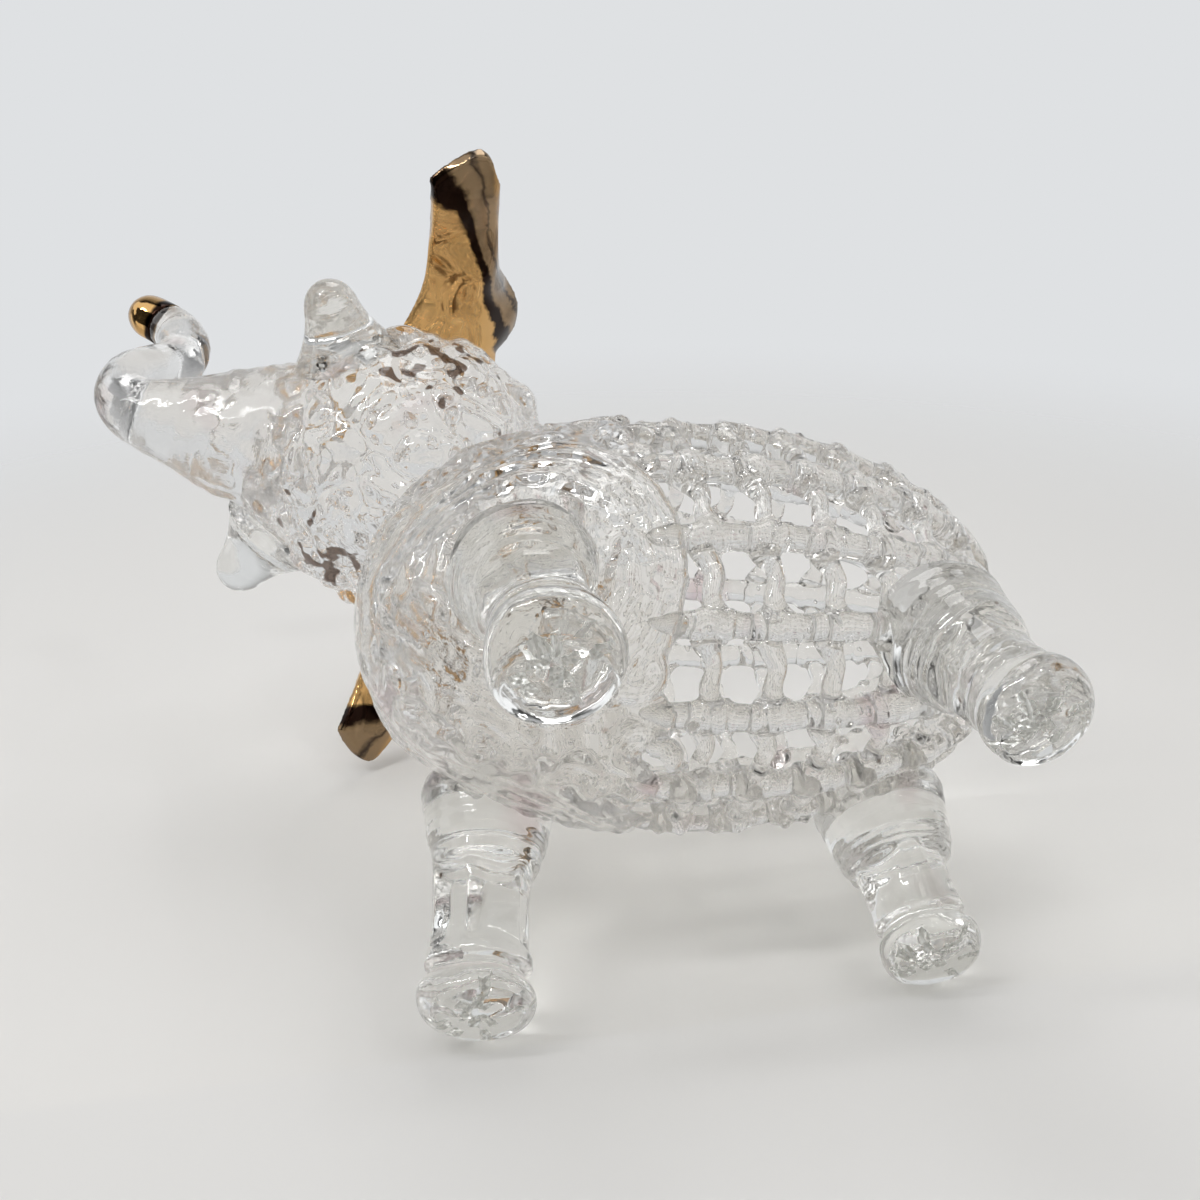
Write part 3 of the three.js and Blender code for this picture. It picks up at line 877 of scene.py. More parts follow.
class FIGURINE_OT_rump(bpy.types.Operator):
    """Winds the small cap where the long rods come together behind"""

    bl_idname = "figurine.rump"
    bl_label = "Wound rump"

    def execute(self, context):
        sizes = context.scene.figurine_sizes
        wound = glass("wound_glass_cap", context.scene.figurine_colours)
        low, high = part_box("wound_rump")
        reach = (high.z - low.z) / 2
        depth = high.y - low.y
        profile = [(0, 0)]
        for i in range(25):
            turn = math.pi / 2 * i / 24
            ring = CAP_RING * math.cos(6 * turn)
            profile.append(((reach - CAP_RING + ring) * math.cos(turn), depth * math.sin(turn)))
        profile[-1] = (0, depth)
        squeeze = Matrix.Diagonal(((high.x - low.x) / (2 * reach), 1, 1, 1))
        turned = Matrix.Rotation(-math.pi / 2, 4, "X") @ squeeze
        middle = Vector(((low.x + high.x) / 2, low.y, (low.z + high.z) / 2))
        form = moved(spun_form(profile, 64), Matrix.Translation(middle) @ turned)
        mesh = fused(to_mesh(form), sizes.fuse, 2)
        swirl(mesh, middle, Vector((0, 1, 0)))
        new_piece("wound_rump_cap", mesh, wound, "spun_glass", "wound_rump")
        return {"FINISHED"}


# Legs

# Where each leg ends in the body (forward, spread, drop), how far its foot stands from there (stride,
# splay, stagger), the height of its thigh and the radius of its foot, in millimetres
LEGS = {
    "front": {"forward": 22.5, "spread": 14.4, "drop": 9.5, "stride": 2.3, "splay": 9.5,
              "stagger": 1.4, "thigh": 10.7, "foot": 6.3},
    "rear": {"forward": -21.5, "spread": 11.8, "drop": 13.5, "stride": -2.0, "splay": 5.9,
             "stagger": 0.0, "thigh": 11.3, "foot": 5.7},
}

# Where up a thigh its top starts to close, as a share; then sizes of legs and cracks in millimetres
SHOULDER_AT = 0.55
THIGH_COILS = 7
KNEE = 6.2
FOOT_HALF = 3.4
FOOT_MIDDLE = 2.7
FLATS = 5
FLAT_REACH = 4.7
CRACKS = 11
INNER_CRACKS = 6
CRACK_THICKNESS = 0.06


def leg_profile(length_mm, thigh_mm, foot_mm):
    """Foot, shank and thigh of a leg as one outline of (radius, height) in millimetres."""
    profile = [(0, FOOT_MIDDLE - FOOT_HALF)]
    for i in range(1, 17):
        turn = math.pi * (i / 20 - 0.5)
        profile.append((foot_mm * math.cos(turn) ** 0.75, FOOT_MIDDLE + FOOT_HALF * math.sin(turn)))
    knee = length_mm - thigh_mm
    ankle = foot_mm - 0.6
    start = profile[-1][1]
    for share in shares(24)[1:]:
        waist = 0.5 * math.sin(math.pi * share)
        profile.append((ankle + (KNEE - ankle) * share - waist, start + (knee - start) * share))
    for share in shares(48)[1:]:
        lip = 0.5 * (1 - math.exp(-share * 18))
        coil = 0.06 * math.sin(2 * math.pi * THIGH_COILS * share) * min(1, 6 * share)
        closing = max(0, share - SHOULDER_AT) / (1 - SHOULDER_AT)
        shoulder = math.sqrt(max(0.001, 1 - closing**2))
        profile.append(((KNEE + lip + 3 * share**2 + coil) * shoulder, knee + thigh_mm * share))
    profile.append((0, length_mm))
    return profile


def leg_ends(leg, mirror):
    """The middle of a leg's sole and the place inside the body where its axis ends."""
    foot = place(
        (leg["forward"] + leg["stride"] - mirror * leg["stagger"]) * MM,
        mirror * (leg["spread"] + leg["splay"]) * MM, 0,
    )
    return foot, place(leg["forward"] * MM, mirror * leg["spread"] * MM, BODY_HEIGHT - leg["drop"] * MM)


def pinch(mesh, foot, up, knee_mm, seed):
    """Presses flats into a shank, as the maker's tongs leave them."""
    side = up.cross(ASIDE).normalized()
    across = up.cross(side)
    flats = []
    for i in range(FLATS):
        angle = 2 * math.pi * i / FLATS + 0.7 * noise.noise(Vector((seed, i, 3)))
        way = side * math.cos(angle) + across * math.sin(angle)
        flats.append((way, FLAT_REACH + 0.5 * math.sin(i**2)))
    middle_mm = (knee_mm + 2 * FOOT_MIDDLE) / 2
    for vertex in mesh.vertices:
        offset = vertex.co - foot
        height = offset.dot(up) / MM
        hold = max(0, 1 - ((height - middle_mm) / (0.75 * (knee_mm - middle_mm))) ** 4)
        for way, reach in flats:
            over = offset.dot(way) - reach * MM
            if over > 0:
                vertex.co -= 0.9 * hold * over * way


def crackle(centre, foot_mm, seed):
    """Thin crinkled cracks inside a foot, spread like a star from the middle of its sole."""
    form = bmesh.new()
    for i in range(CRACKS):
        inner = i < INNER_CRACKS
        around = 2 * math.pi * i / 5.7 + noise.noise(Vector((seed, i, 0))) * 0.7
        sheet = bmesh.ops.create_grid(form, x_segments=7, y_segments=4, size=0.5)["verts"]
        wide = (0.36 if inner else 0.30) * foot_mm * (0.9 + 0.4 * noise.noise(Vector((i, seed, 1))))
        away = wide * 0.6 + (0.35 if inner else 0.42 * foot_mm)
        tilt = Matrix.Rotation(math.radians(30 + 26 * noise.noise(Vector((i, 2, seed)))), 4, "X")
        stand = Matrix.Translation((away, 0, 0 if inner else -0.2 * FOOT_HALF))
        stand = Matrix.Rotation(around, 4, "Z") @ stand @ tilt @ Matrix.Diagonal((wide, 1.3, 1, 1))
        for vertex in sheet:
            vertex.co.z = 0.4 * noise.noise(vertex.co * 3.1 + Vector((seed, i, 0)))
        bmesh.ops.transform(form, verts=sheet, matrix=stand)
    bmesh.ops.solidify(form, geom=form.faces[:], thickness=CRACK_THICKNESS)
    return to_mesh(moved(form, Matrix.Translation(centre) @ Matrix.Scale(MM, 4)), "crackle")


class FIGURINE_OT_legs(bpy.types.Operator):
    """Makes the four legs: a wound thigh, a clear shank and a pressed, crackled foot each"""

    bl_idname = "figurine.legs"
    bl_label = "Legs"

    def execute(self, context):
        sizes = context.scene.figurine_sizes
        colours = context.scene.figurine_colours
        clear = glass("clear_pressed_glass", colours)
        film = crackle_film(colours)
        for end, leg in LEGS.items():
            for side, mirror in (("left", 1), ("right", -1)):
                foot, root = leg_ends(leg, mirror)
                up = (root - foot).normalized()
                stand = Matrix.Translation(foot) @ upright(up) @ Matrix.Scale(MM, 4)
                long = (root - foot).length / MM
                form = moved(spun_form(leg_profile(long, leg["thigh"], leg["foot"]), 72), stand)
                bmesh.ops.bisect_plane(
                    form, geom=form.verts[:] + form.edges[:] + form.faces[:],
                    plane_co=(0, 0, 0), plane_no=(0, 0, 1), clear_inner=True,
                )
                bmesh.ops.holes_fill(form, edges=form.edges[:])
                bmesh.ops.recalc_face_normals(form, faces=form.faces)
                mesh = cut_by(to_mesh(form), barrel_form(0.6 * MM))
                mesh = keep_largest(fused(mesh, sizes.fuse, 2))
                pinch(mesh, foot, up, long - leg["thigh"], 5 * mirror + leg["forward"])
                for vertex in mesh.vertices:
                    if vertex.co.z > 0.4 * MM:
                        vertex.co += wander(vertex.co, 6 * MM, 0.35 * MM, 70)
                swirl(mesh, foot, up)
                piece = new_piece(
                    f"{end}_{side}_leg", mesh, clear, "clear_glass",
                    f"{end}_{side}_foot", f"{end}_{side}_shank", f"{end}_{side}_thigh",
                )
                cracks = crackle(foot + FOOT_MIDDLE * MM * up, leg["foot"], 3 * mirror + leg["forward"])
                set_inside(piece, f"{end}_{side}_foot_crackle", cracks, film)
        return {"FINISHED"}


# Head, trunk, tusks and ears


def spaced(points, count):
    """A smooth centripetal route through points, as evenly spaced places and its length."""
    ends = [2 * points[0] - points[1], *points, 2 * points[-1] - points[-2]]
    fine = []
    for a, b, c, d in zip(ends, ends[1:], ends[2:], ends[3:]):
        ab, bc, cd = ((b - a).length ** 0.5, (c - b).length ** 0.5, (d - c).length ** 0.5)
        leave = ((b - a) / ab - (c - a) / (ab + bc) + (c - b) / bc) * bc
        arrive = ((c - b) / bc - (d - b) / (bc + cd) + (d - c) / cd) * bc
        for i in range(24):
            t = i / 24
            fine.append(
                (2 * t**3 - 3 * t**2 + 1) * b + (t**3 - 2 * t**2 + t) * leave
                + (3 * t**2 - 2 * t**3) * c + (t**3 - t**2) * arrive
            )
    fine.append(points[-1])
    runs = [0.0]
    for a, b in zip(fine, fine[1:]):
        runs.append(runs[-1] + (b - a).length)
    route = []
    j = 0
    for i in range(count + 1):
        want = runs[-1] * i / count
        while j < len(runs) - 2 and runs[j + 1] < want:
            j += 1
        share = (want - runs[j]) / (runs[j + 1] - runs[j])
        route.append(fine[j].lerp(fine[j + 1], min(share, 1)))
    return route, runs[-1]


# The middle line of the trunk as forward, left and up from the middle of the head, in millimetres
TRUNK = [
    (8, 0, 0), (18.5, 0, 1.5), (25.5, 0, 1.5), (35.5, 0, 4), (36.5, 0.6, 11), (31.5, 0.9, 20),
    (31.5, 1.8, 27), (35.5, 1.8, 33), (39.5, 1.8, 35),
]
TRUNK_STEPS = 120
TIP_LENGTH = 6 * MM

HEAD_BUBBLES = 260

# How far forward of the head's middle the muzzle starts, its crease ends and its lumps end, in
# millimetres, and how many times the flame smooths the crease
MUZZLE_START = 9
CREASE_END = 24
MUZZLE_END = 34
MUZZLE_POLISH = 40


def trunk_route():
    """Places and radii along the trunk, from inside the head to its tip."""
    points = [in_head(*(Vector(point) * MM)) for point in TRUNK]
    spots, run = spaced(points, TRUNK_STEPS)
    route = []
    for i, spot in enumerate(spots):
        share = i / TRUNK_STEPS
        root = max(0, 1 - share / 0.45) ** 1.3
        ring = 0.06 * math.sin(share * run / (0.35 * MM)) * max(0, 1 - abs(share - 0.3) / 0.2)
        radius = 3.1 + 1.5 * (1 - share) + 10.4 * root + ring
        route.append((spot, radius * MM))
    return route, 1 - TIP_LENGTH / run


def knob_ways():
    """Ways out from the middle of the head to its knobs, each well off an even spread."""
    for i in range(KNOBS):
        rise = 1 - (2 * i + 1) / KNOBS
        flat = math.sqrt(1 - rise**2)
        stray = KNOB_STRAY * math.sin(i**2)
        around = GOLDEN_TURN * i + stray
        way = Vector((flat * math.cos(around), flat * math.sin(around), rise + stray * flat))
        yield way.normalized()


def head_ball(sizes):
    """The head's ball with its knobs, and small blisters over them."""
    knobs = finder(list(knob_ways()))
    form = bmesh.new()
    bmesh.ops.create_icosphere(form, subdivisions=7, radius=1)
    for vertex in form.verts:
        way = vertex.co.normalized()
        strayed = way + 0.10 * drift(3.1 * way)
        off = knobs.find(strayed)[2] * HEAD_HALF.y / KNOB_REACH
        swell = KNOB_HEIGHT * max(1 - off**2, 0)
        cell = noise.voronoi(strayed * (HEAD_HALF.y / sizes.bead))[0][0]
        swell += sizes.bead_height * (max(0, 1 - (cell / 0.7) ** 2) - 0.5)
        swell += 0.35 * MM * noise.noise(7 * way)
        vertex.co = HEAD_FRAME @ Vector(w * (h + swell) for w, h in zip(way, HEAD_HALF))
    return form


def melt_muzzle(mesh):
    """Softens the crease where the trunk is drawn out of the face, and leaves small lumps there."""
    form = bmesh.new()
    form.from_mesh(mesh)
    back = HEAD_FRAME.inverted()
    forward = {vertex: -(back @ vertex.co).y for vertex in form.verts}
    near = [vertex for vertex in form.verts if MUZZLE_START * MM < forward[vertex] < MUZZLE_END * MM]
    crease = [vertex for vertex in near if forward[vertex] < CREASE_END * MM]
    for _ in range(MUZZLE_POLISH):
        bmesh.ops.smooth_vert(
            form, verts=crease, factor=0.5, use_axis_x=True, use_axis_y=True, use_axis_z=True,
        )
    for vertex in near:
        share = (forward[vertex] / MM - MUZZLE_START) / (MUZZLE_END - MUZZLE_START)
        soft = math.sin(math.pi * share**0.7)
        vertex.co += soft * wander(vertex.co, 2.6 * MM, 0.6 * MM, 90)
        vertex.co += soft * wander(vertex.co, 5.5 * MM, 0.6 * MM, 91)
    form.to_mesh(mesh)
    form.free()
    return mesh


def head_bubbles():
    """Bubbles under the skin of the head, larger and closer together than elsewhere."""
    chance = random.Random(3)
    bubbles = []
    for i in range(HEAD_BUBBLES):
        rise = chance.uniform(-0.85, 0.95)
        flat = math.sqrt(1 - rise**2)
        way = Vector((flat * math.cos(GOLDEN_TURN * i), flat * math.sin(GOLDEN_TURN * i), rise))
        depth = chance.uniform(1.3, 5.0) * MM
        spot = HEAD_FRAME @ Vector(w * (h - depth) for w, h in zip(way, HEAD_HALF))
        drawn = way.cross(Vector((0.3, 1, 0.2))).normalized()
        bubbles.append((spot, chance.uniform(0.3, 0.95) * MM, drawn))
    return bubbles


def head_core():
    """The head's ball a little under its skin, to cut what is welded onto it."""
    form = bmesh.new()
    bmesh.ops.create_icosphere(form, subdivisions=5, radius=1)
    under = Matrix.Diagonal((*(HEAD_HALF - Vector((1, 1, 1)) * MM), 1))
    return to_mesh(moved(form, HEAD_FRAME @ under), "head_core")


def mark_painted_dark_reflection(mesh):
    """Stores how near each vertex is to the dark flecks painted as reflections, by the left ear and on a
    cheek.
    """
    # Middles and reaches of the two patches of painted dark reflection
    patches = (
        (in_head(1 * MM, 16 * MM, -5 * MM), 9 * MM),
        (in_head(7 * MM, -8 * MM, -14 * MM), 7 * MM),
    )

    def painted_dark_reflection(spot):
        return max(math.exp(-(((spot - middle).length / reach) ** 2)) for middle, reach in patches)

    mark(mesh, "painted_dark_reflection", "FLOAT", painted_dark_reflection)


class FIGURINE_OT_head(bpy.types.Operator):
    """Makes the knobbly head with the trunk drawn out of it"""

    bl_idname = "figurine.head"
    bl_label = "Head and trunk"

    def execute(self, context):
        sizes = context.scene.figurine_sizes
        knobbly = glass("wound_and_knobbed_glass", context.scene.figurine_colours)
        form = head_ball(sizes)
        route, tip_start = trunk_route()
        kept = route[: int(TRUNK_STEPS * tip_start)]
        form.from_mesh(rods([kept], 9))
        mesh = melt_muzzle(fused(to_mesh(form), 1.15 * sizes.fuse, 1))
        mesh = keep_largest(cut_by(mesh, barrel_form(0.5 * MM)))
        mesh.shade_smooth()
        mark_flow(mesh, [route])
        middle = in_head(0, 0, 0)
        for vertex, flow in zip(mesh.vertices, mesh.attributes["flow"].data):
            out = (vertex.co - middle).length / HEAD_HALF.y
            drawn = min(max((out - 1.05) / 0.25, 0), 1)
            flow.vector = 0.22 * (vertex.co - middle) * (1 - drawn) + Vector(flow.vector) * drawn
        mark_painted_dark_reflection(mesh)
        piece = new_piece("head_with_trunk", mesh, knobbly, "spun_glass", "head", "trunk")
        add_bubbles(piece, head_bubbles(), air_in_glass())
        return {"FINISHED"}


class FIGURINE_OT_trunk_tip(bpy.types.Operator):
    """Makes the gilt end of the trunk"""

    bl_idname = "figurine.trunk_tip"
    bl_label = "Gilt trunk tip"

    def execute(self, context):
        sizes = context.scene.figurine_sizes
        route, tip_start = trunk_route()
        tip = route[int(TRUNK_STEPS * tip_start) - 1 :]
        rounded = []
        for i, (spot, radius) in enumerate(tip):
            left = (len(tip) - 1 - i) / (len(tip) - 1)
            dome = math.sqrt(max(0.02, 1 - (1 - min(1, left * 2.2)) ** 2))
            rounded.append((spot, radius * dome))
        mesh = fused(rods([rounded], 9), sizes.fuse, 2)
        start = tip[0][0]
        along = tip[-1][0] - start
        # The leaf value falls along the tip, through the dark band painted as a reflection, to gold at
        # its end
        mark(
            mesh, "leaf", "FLOAT",
            lambda spot: 0.42 - 0.5 * ((spot - start).dot(along) / along.length_squared),
        )
        gilt = gold_lustre(context.scene.figurine_colours)
        new_piece("gilt_trunk_tip", mesh, gilt, "gilt_glass", "trunk_tip")
        return {"FINISHED"}


# Tusks, in the head's frame and in millimetres: the turn forward, where one starts and ends, the
# start forward and its stagger, the height, how much is buried in the head, and the radius
TUSK_TURN = math.radians(28)
TUSK_START = 8.75
TUSK_END = 24
TUSK_FORWARD = 10.8
TUSK_STAGGER = 2.5
TUSK_HEIGHT = 2
TUSK_BURIED = 5
TUSK_RADIUS = 3.3
TUSK_STEPS = 32


class FIGURINE_OT_tusks(bpy.types.Operator):
    """Makes the two domed nubs of clear glass beside the trunk"""

    bl_idname = "figurine.tusks"
    bl_label = "Tusks"

    def execute(self, context):
        clear = glass("clear_drawn_glass", context.scene.figurine_colours)
        reach = TUSK_END - TUSK_START
        for side, mirror in (("left", 1), ("right", -1)):
            out = Vector((mirror * math.cos(TUSK_TURN), -math.sin(TUSK_TURN), 0))
            start = Vector((mirror * TUSK_START, -(TUSK_FORWARD - mirror * TUSK_STAGGER), TUSK_HEIGHT))
            route = []
            for share in shares(TUSK_STEPS):
                run = TUSK_BURIED + (reach - TUSK_BURIED) * share
                dome = math.sqrt(max(0.03, 1 - max(0, 1 - (reach - run) / TUSK_RADIUS) ** 2))
                flare = 1 + 1.2 * max(0, 1 - share / 0.85) ** 2
                route.append((HEAD_FRAME @ ((start + out * run) * MM), TUSK_RADIUS * MM * dome * flare))
            mesh = fused(rods([route], 9), context.scene.figurine_sizes.fuse, 3)
            swirl(mesh, route[0][0], (route[-1][0] - route[0][0]).normalized())
            new_piece(f"{side}_tusk_nub", mesh, clear, "clear_glass", f"{side}_tusk")
        return {"FINISHED"}


# Ears, in the head's frame, in millimetres and degrees
EAR_SETBACK = 5
EAR_STAGGER = 2
EAR_SINK = 2
EAR_ROOT_DEPTH = 6
EAR_ROOT_HEIGHT = 5
EAR_REACH = 22.9
EAR_DROOP = 10
EAR_DROOP_CURVE = 1.4
EAR_ROOT_WIDTH = 13.5
EAR_TIP_WIDTH = 11.0
EAR_THICKNESS = 1.6
EAR_FOLD = 4.2
EAR_SWEEP = 2.6
EAR_LEAN = -12
EAR_TWIST = -34
EAR_WAIST = 0.14
EAR_LOBE = 5.3
EAR_LOBE_AT = 0.3
EAR_LOBE_REAR = 1.05
EAR_BOW = 1.2
EAR_BULGE = 3.4
EAR_NIP = 0.2
EAR_VOXEL = 0.3 * MM
# Slant and place of the dark band painted across each ear as a reflection of a dark part of the room
DARK_BAND_SLANT = 0.47
DARK_BAND_AT = 0.14


def ear_place(across, share, mirror):
    """A place on the folded leaf of an ear, in the head's frame, in millimetres."""
    opened = max(share, 0)
    if across > EAR_LOBE_AT:
        lobe = EAR_LOBE * (1 - ((across - EAR_LOBE_AT) / (1 - EAR_LOBE_AT)) ** 2)
    else:
        rear = min(1, (EAR_LOBE_AT - across) / EAR_LOBE_REAR)
        lobe = EAR_LOBE * (0.5 + 0.5 * math.cos(math.pi * rear))
    waist = 1 - EAR_WAIST * math.sin(math.pi * opened)
    wave = math.sin(2 * math.pi * opened)
    bulge = EAR_BULGE * max(wave, EAR_NIP * wave) * min(across, 0)
    width = EAR_ROOT_WIDTH + (EAR_TIP_WIDTH - EAR_ROOT_WIDTH) * opened
    wide = width / 2 * waist * across + bulge
    high = EAR_FOLD * across**2
    lean = math.radians(EAR_LEAN + EAR_TWIST * opened)
    spine = EAR_SWEEP * share - EAR_BOW * math.sin(math.pi * opened) - EAR_SETBACK + EAR_STAGGER * mirror
    forward = spine + wide * math.cos(lean) - high * math.sin(lean)
    rise = EAR_ROOT_HEIGHT - EAR_DROOP * opened**EAR_DROOP_CURVE
    up = rise + wide * math.sin(lean) + high * math.cos(lean)
    left = HEAD_HALF.x / MM - EAR_SINK + (EAR_REACH + lobe) * share
    return Vector((mirror * left, -forward, up))


def mark_band(leaf, spots, above):
    """Stores how far each vertex is above an ear's painted dark band, as known at the places given."""
    tree = finder(spots)

    def over(spot):
        near = [(1 / (far + 0.05 * MM), above[i]) for _, i, far in tree.find_n(spot, 4)]
        return sum(weight * value for weight, value in near) / sum(weight for weight, _ in near)

    mark(leaf, "leaf", "FLOAT", over)


class FIGURINE_OT_ears(bpy.types.Operator):
    """Makes the two gilt leaves of the ears"""

    bl_idname = "figurine.ears"
    bl_label = "Gilt ears"

    def execute(self, context):
        gilt = gold_lustre(context.scene.figurine_colours)
        for side, mirror in (("left", 1), ("right", -1)):
            form = bmesh.new()
            bmesh.ops.create_grid(form, x_segments=28, y_segments=44, size=1)
            spots = []
            above = []
            for vertex in form.verts:
                across, share = 0.97 * vertex.co.x, 0.5 + vertex.co.y / 2
                share = -EAR_ROOT_DEPTH / EAR_REACH * (1 - share) + 0.985 * share
                spot = ear_place(across, share, mirror)
                spot += drift(spot / 9) * 0.4
                vertex.co = HEAD_FRAME @ (spot * MM)
                above.append(share - DARK_BAND_SLANT * across - DARK_BAND_AT)
                spots.append(vertex.co.copy())
            leaf = baked(to_mesh(form), ("SOLIDIFY", {"thickness": EAR_THICKNESS * MM, "offset": 0}))
            leaf = keep_largest(fused(cut_by(leaf, head_core()), EAR_VOXEL, 6))
            mark_band(leaf, spots, above)
            new_piece(f"gilt_{side}_ear", leaf, gilt, "gilt_glass", f"{side}_ear")
        return {"FINISHED"}


# Studio

# The camera's place, counted from the ground under the barrel's middle, and the way it looks
CAMERA_AT = Vector((92.34, -43.72, -84.10)) * MM
CAMERA_AHEAD = Vector((-0.578, 0.213, 0.788))
CAMERA_UP = Vector((0.803, -0.021, 0.595))
CAMERA_LENS = 40.18
FLOOR_REACH = 320 * MM

# A first guess of the resting plane's normal, which is then worked out from the frame
FIRST_NORMAL = Vector((0.978, -0.114, 0.176))

# Each lamp: how far it stands from the figurine along the floor's normal, ahead of the camera and
# to the camera's side, its width and height, all in millimetres, and how bright its face is, where
# 1 is white
LAMPS = {
    "soft_box": ((380, 160, 0), (170, 170), 3.4),
    "strip_lamp": ((300, -120, 200), (260, 18), 36),
    "side_lamp": ((240, -200, -240), (9, 220), 24),
    "small_lamp": ((350, -70, -130), (20, 20), 55),
}


def resting_plane():
    """The plane that the figurine lies on: it touches the right ear and the two right feet."""
    normal = FIRST_NORMAL.normalized()
    names = ("right_ear", "front_right_foot", "rear_right_foot")
    meshes = [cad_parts[name].data for name in names]
    for _ in range(8):
        touch = [min((v.co for v in mesh.vertices), key=normal.dot) for mesh in meshes]
        normal = (touch[1] - touch[0]).cross(touch[2] - touch[0]).normalized()
        if normal.x < 0:
            normal = -normal
    return touch[0].copy(), normal


def studio_surface(name, colours, spot, normal):
    """A pale matt sheet, seen from its face only, that fades into the backdrop."""
    form = bmesh.new()
    bmesh.ops.create_grid(form, x_segments=1, y_segments=1, size=FLOOR_REACH)
    mesh = to_mesh(moved(form, Matrix.Translation(spot) @ upright(normal)), name)
    # Matt paper: an even pale tone with a soft contact shadow, and no mirror of the glass
    material, tree = new_material(f"{name}_matt_paper")
    back = add_node(tree, "ShaderNodeNewGeometry").outputs["Backfacing"]
    here = add_node(tree, "ShaderNodeTexCoord").outputs["Object"]
    away = add_node(tree, "ShaderNodeVectorMath", {0: here, 1: tuple(spot)}, operation="DISTANCE")
    fade = spread(
        tree, away.outputs["Value"], 0.35 * FLOOR_REACH, 0.9 * FLOOR_REACH,
        interpolation_type="SMOOTHSTEP",
    )
    paper = add_node(
        tree, "ShaderNodeBsdfPrincipled",
        {"Base Color": (*colours.floor, 1), "Roughness": 0.9, "Specular IOR Level": 0.1},
    )
    gone = add_node(tree, "ShaderNodeBsdfTransparent").outputs["BSDF"]
    surface = mixed(tree, worked_out(tree, "MAXIMUM", back, fade), paper.outputs["BSDF"], gone)
    add_node(tree, "ShaderNodeOutputMaterial", {"Surface": surface})
    mesh.materials.append(material)
    sheet = in_scene(name, mesh)
    # Without this, a sheet cuts off the lamps behind it and draws an edge across the other sheet
    sheet.visible_shadow = False


def soft_lamp(name, at, towards, size, glow):
    """A flat lamp aimed at a place; glow is how bright its face looks, where 1 is white."""
    light = bpy.data.lights.new(name, "AREA")
    light.shape = "RECTANGLE"
    light.size, light.size_y = size
    light.energy = glow * math.pi * size[0] * size[1]
    lamp = in_scene(name, light)
    lamp.location = at
    lamp.rotation_euler = (towards - at).to_track_quat("-Z", "Y").to_euler()


def backdrop_world(colours):
    """A pale room: plain light, and a backdrop that glass and gold show with a darker side."""
    world = bpy.data.worlds.new("pale_studio")
    bpy.context.scene.world = world
    world.use_nodes = True
    tree = world.node_tree
    tree.nodes.clear()
    path = add_node(tree, "ShaderNodeLightPath").outputs
    way = add_node(tree, "ShaderNodeTexCoord").outputs["Generated"]
    behind = add_node(
        tree, "ShaderNodeVectorMath", {0: way, 1: tuple(-CAMERA_AHEAD)}, operation="DOT_PRODUCT",
    )
    # All round but ahead of the camera the room has dark and bright patches, which glass and gold
    # show as dark edges and glints
    aside = spread(tree, behind.outputs["Value"], -0.8, -0.1)
    dark = spread(tree, grain(tree, way, 1 / 1.7, 1.0), 0.47, 0.54, 0.03, 1.4)
    dim = add_node(tree, "ShaderNodeMix", {0: aside, 2: 0.92, 3: dark}, data_type="FLOAT").outputs[0]
    # Matt surfaces get plain light, which is weaker where they lie behind glass
    plain = spread(tree, path["Is Transmission Ray"], 0.0, 1.0, 0.54, 0.03)
    shown = worked_out(tree, "MAXIMUM", path["Is Glossy Ray"], path["Is Transmission Ray"])
    direct = worked_out(tree, "SUBTRACT", shown, path["Diffuse Depth"], use_clamp=True)
    pale = (*colours.backdrop, 1)
    light, room, seen = (
        add_node(tree, "ShaderNodeBackground", {"Color": tone, "Strength": strength}).outputs[0]
        for tone, strength in (((1, 1, 1, 1), plain), (pale, dim), (pale, 1.0))
    )
    inner = mixed(tree, direct, light, room)
    outer = mixed(tree, path["Is Camera Ray"], inner, seen)
    add_node(tree, "ShaderNodeOutputWorld", {"Surface": outer})


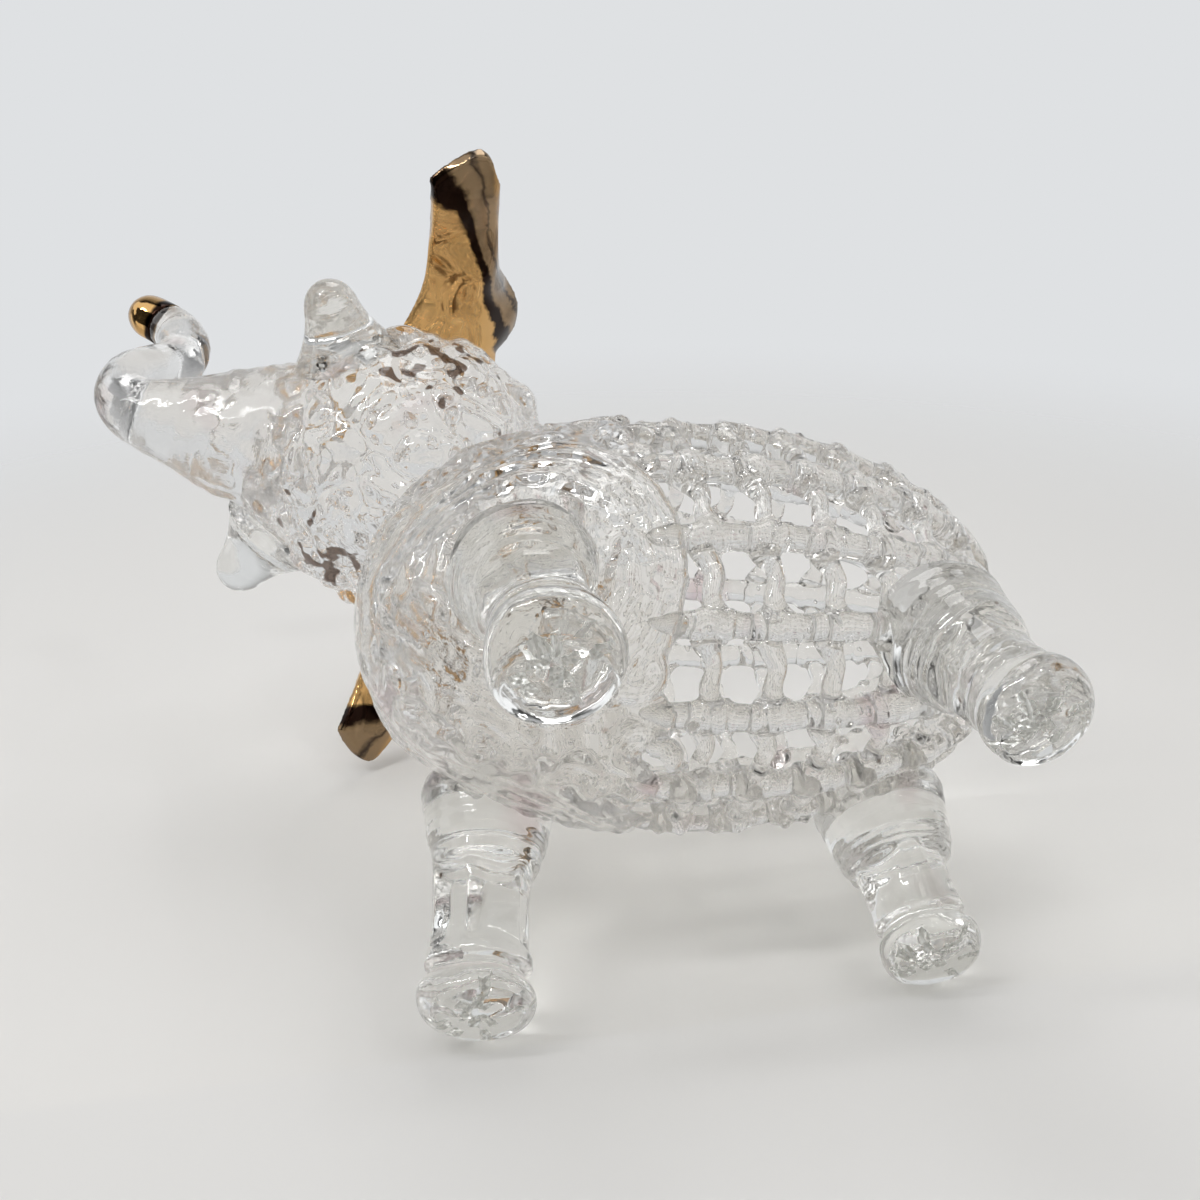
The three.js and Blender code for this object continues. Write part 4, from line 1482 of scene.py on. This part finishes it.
class FIGURINE_OT_studio(bpy.types.Operator):
    """Sets up the two pale floors, the backdrop, the soft light and the camera"""

    bl_idname = "figurine.studio"
    bl_label = "Studio"

    def execute(self, context):
        scene = context.scene
        colours = scene.figurine_colours
        spot, normal = resting_plane()
        middle = place(10 * MM, 0, 50 * MM)
        under = middle - normal * (middle - spot).dot(normal)
        studio_surface("resting_floor", colours, under, normal)
        studio_surface("standing_floor", colours, Vector((0, 0, -0.02 * MM)), Vector((0, 0, 1)))
        camera_up = CAMERA_UP.normalized()
        across = camera_up.cross(CAMERA_AHEAD)
        for name, ((over, ahead, side), size, glow) in LAMPS.items():
            at = middle + (normal * over + CAMERA_AHEAD * ahead + across * side) * MM
            soft_lamp(name, at, middle, [reach * MM for reach in size], glow)
        backdrop_world(colours)
        data = bpy.data.cameras.new("camera")
        data.lens = CAMERA_LENS
        data.sensor_width = 36
        data.clip_start = 1 * MM
        data.clip_end = 10
        camera = in_scene("camera", data)
        back = -CAMERA_AHEAD.normalized()
        right = camera_up.cross(back).normalized()
        turn = Matrix((right, back.cross(right), back)).transposed()
        camera.matrix_world = Matrix.Translation(ORIGIN + CAMERA_AT) @ turn.to_4x4()
        scene.camera = camera
        scene.view_settings.view_transform = "Standard"
        # Light crosses many walls of glass before it is out again
        scene.cycles.max_bounces = 40
        scene.cycles.transmission_bounces = 36
        scene.cycles.glossy_bounces = 12
        scene.cycles.transparent_max_bounces = 32
        return {"FINISHED"}


STEPS = (
    FIGURINE_OT_studio, FIGURINE_OT_lattice, FIGURINE_OT_chest, FIGURINE_OT_rump, FIGURINE_OT_legs,
    FIGURINE_OT_head, FIGURINE_OT_trunk_tip, FIGURINE_OT_tusks, FIGURINE_OT_ears,
)


class FIGURINE_PT_panel(bpy.types.Panel):
    """Lists the sizes, the colours and the pieces of the figurine"""

    bl_idname = "FIGURINE_PT_panel"
    bl_label = "Glass elephant"
    bl_space_type = "VIEW_3D"
    bl_region_type = "UI"
    bl_category = "Glass elephant"

    def draw(self, context):
        for group in (context.scene.figurine_sizes, context.scene.figurine_colours):
            box = self.layout.box()
            for name in group.__annotations__:
                box.prop(group, name)
        for step in STEPS:
            self.layout.operator(step.bl_idname)


CLASSES = (FigurineSizes, FigurineColours, *STEPS, FIGURINE_PT_panel)


def register():
    """Adds the classes and their settings."""
    for item in CLASSES:
        bpy.utils.register_class(item)
    bpy.types.Scene.figurine_sizes = PointerProperty(type=FigurineSizes)
    bpy.types.Scene.figurine_colours = PointerProperty(type=FigurineColours)


def unregister():
    """Takes the classes and their settings away."""
    del bpy.types.Scene.figurine_colours
    del bpy.types.Scene.figurine_sizes
    for item in reversed(CLASSES):
        bpy.utils.unregister_class(item)


def main():
    """Makes every piece in order."""
    register()
    for step in STEPS:
        group, name = step.bl_idname.split(".")
        getattr(getattr(bpy.ops, group), name)()


if __name__ == "__main__":
    main()
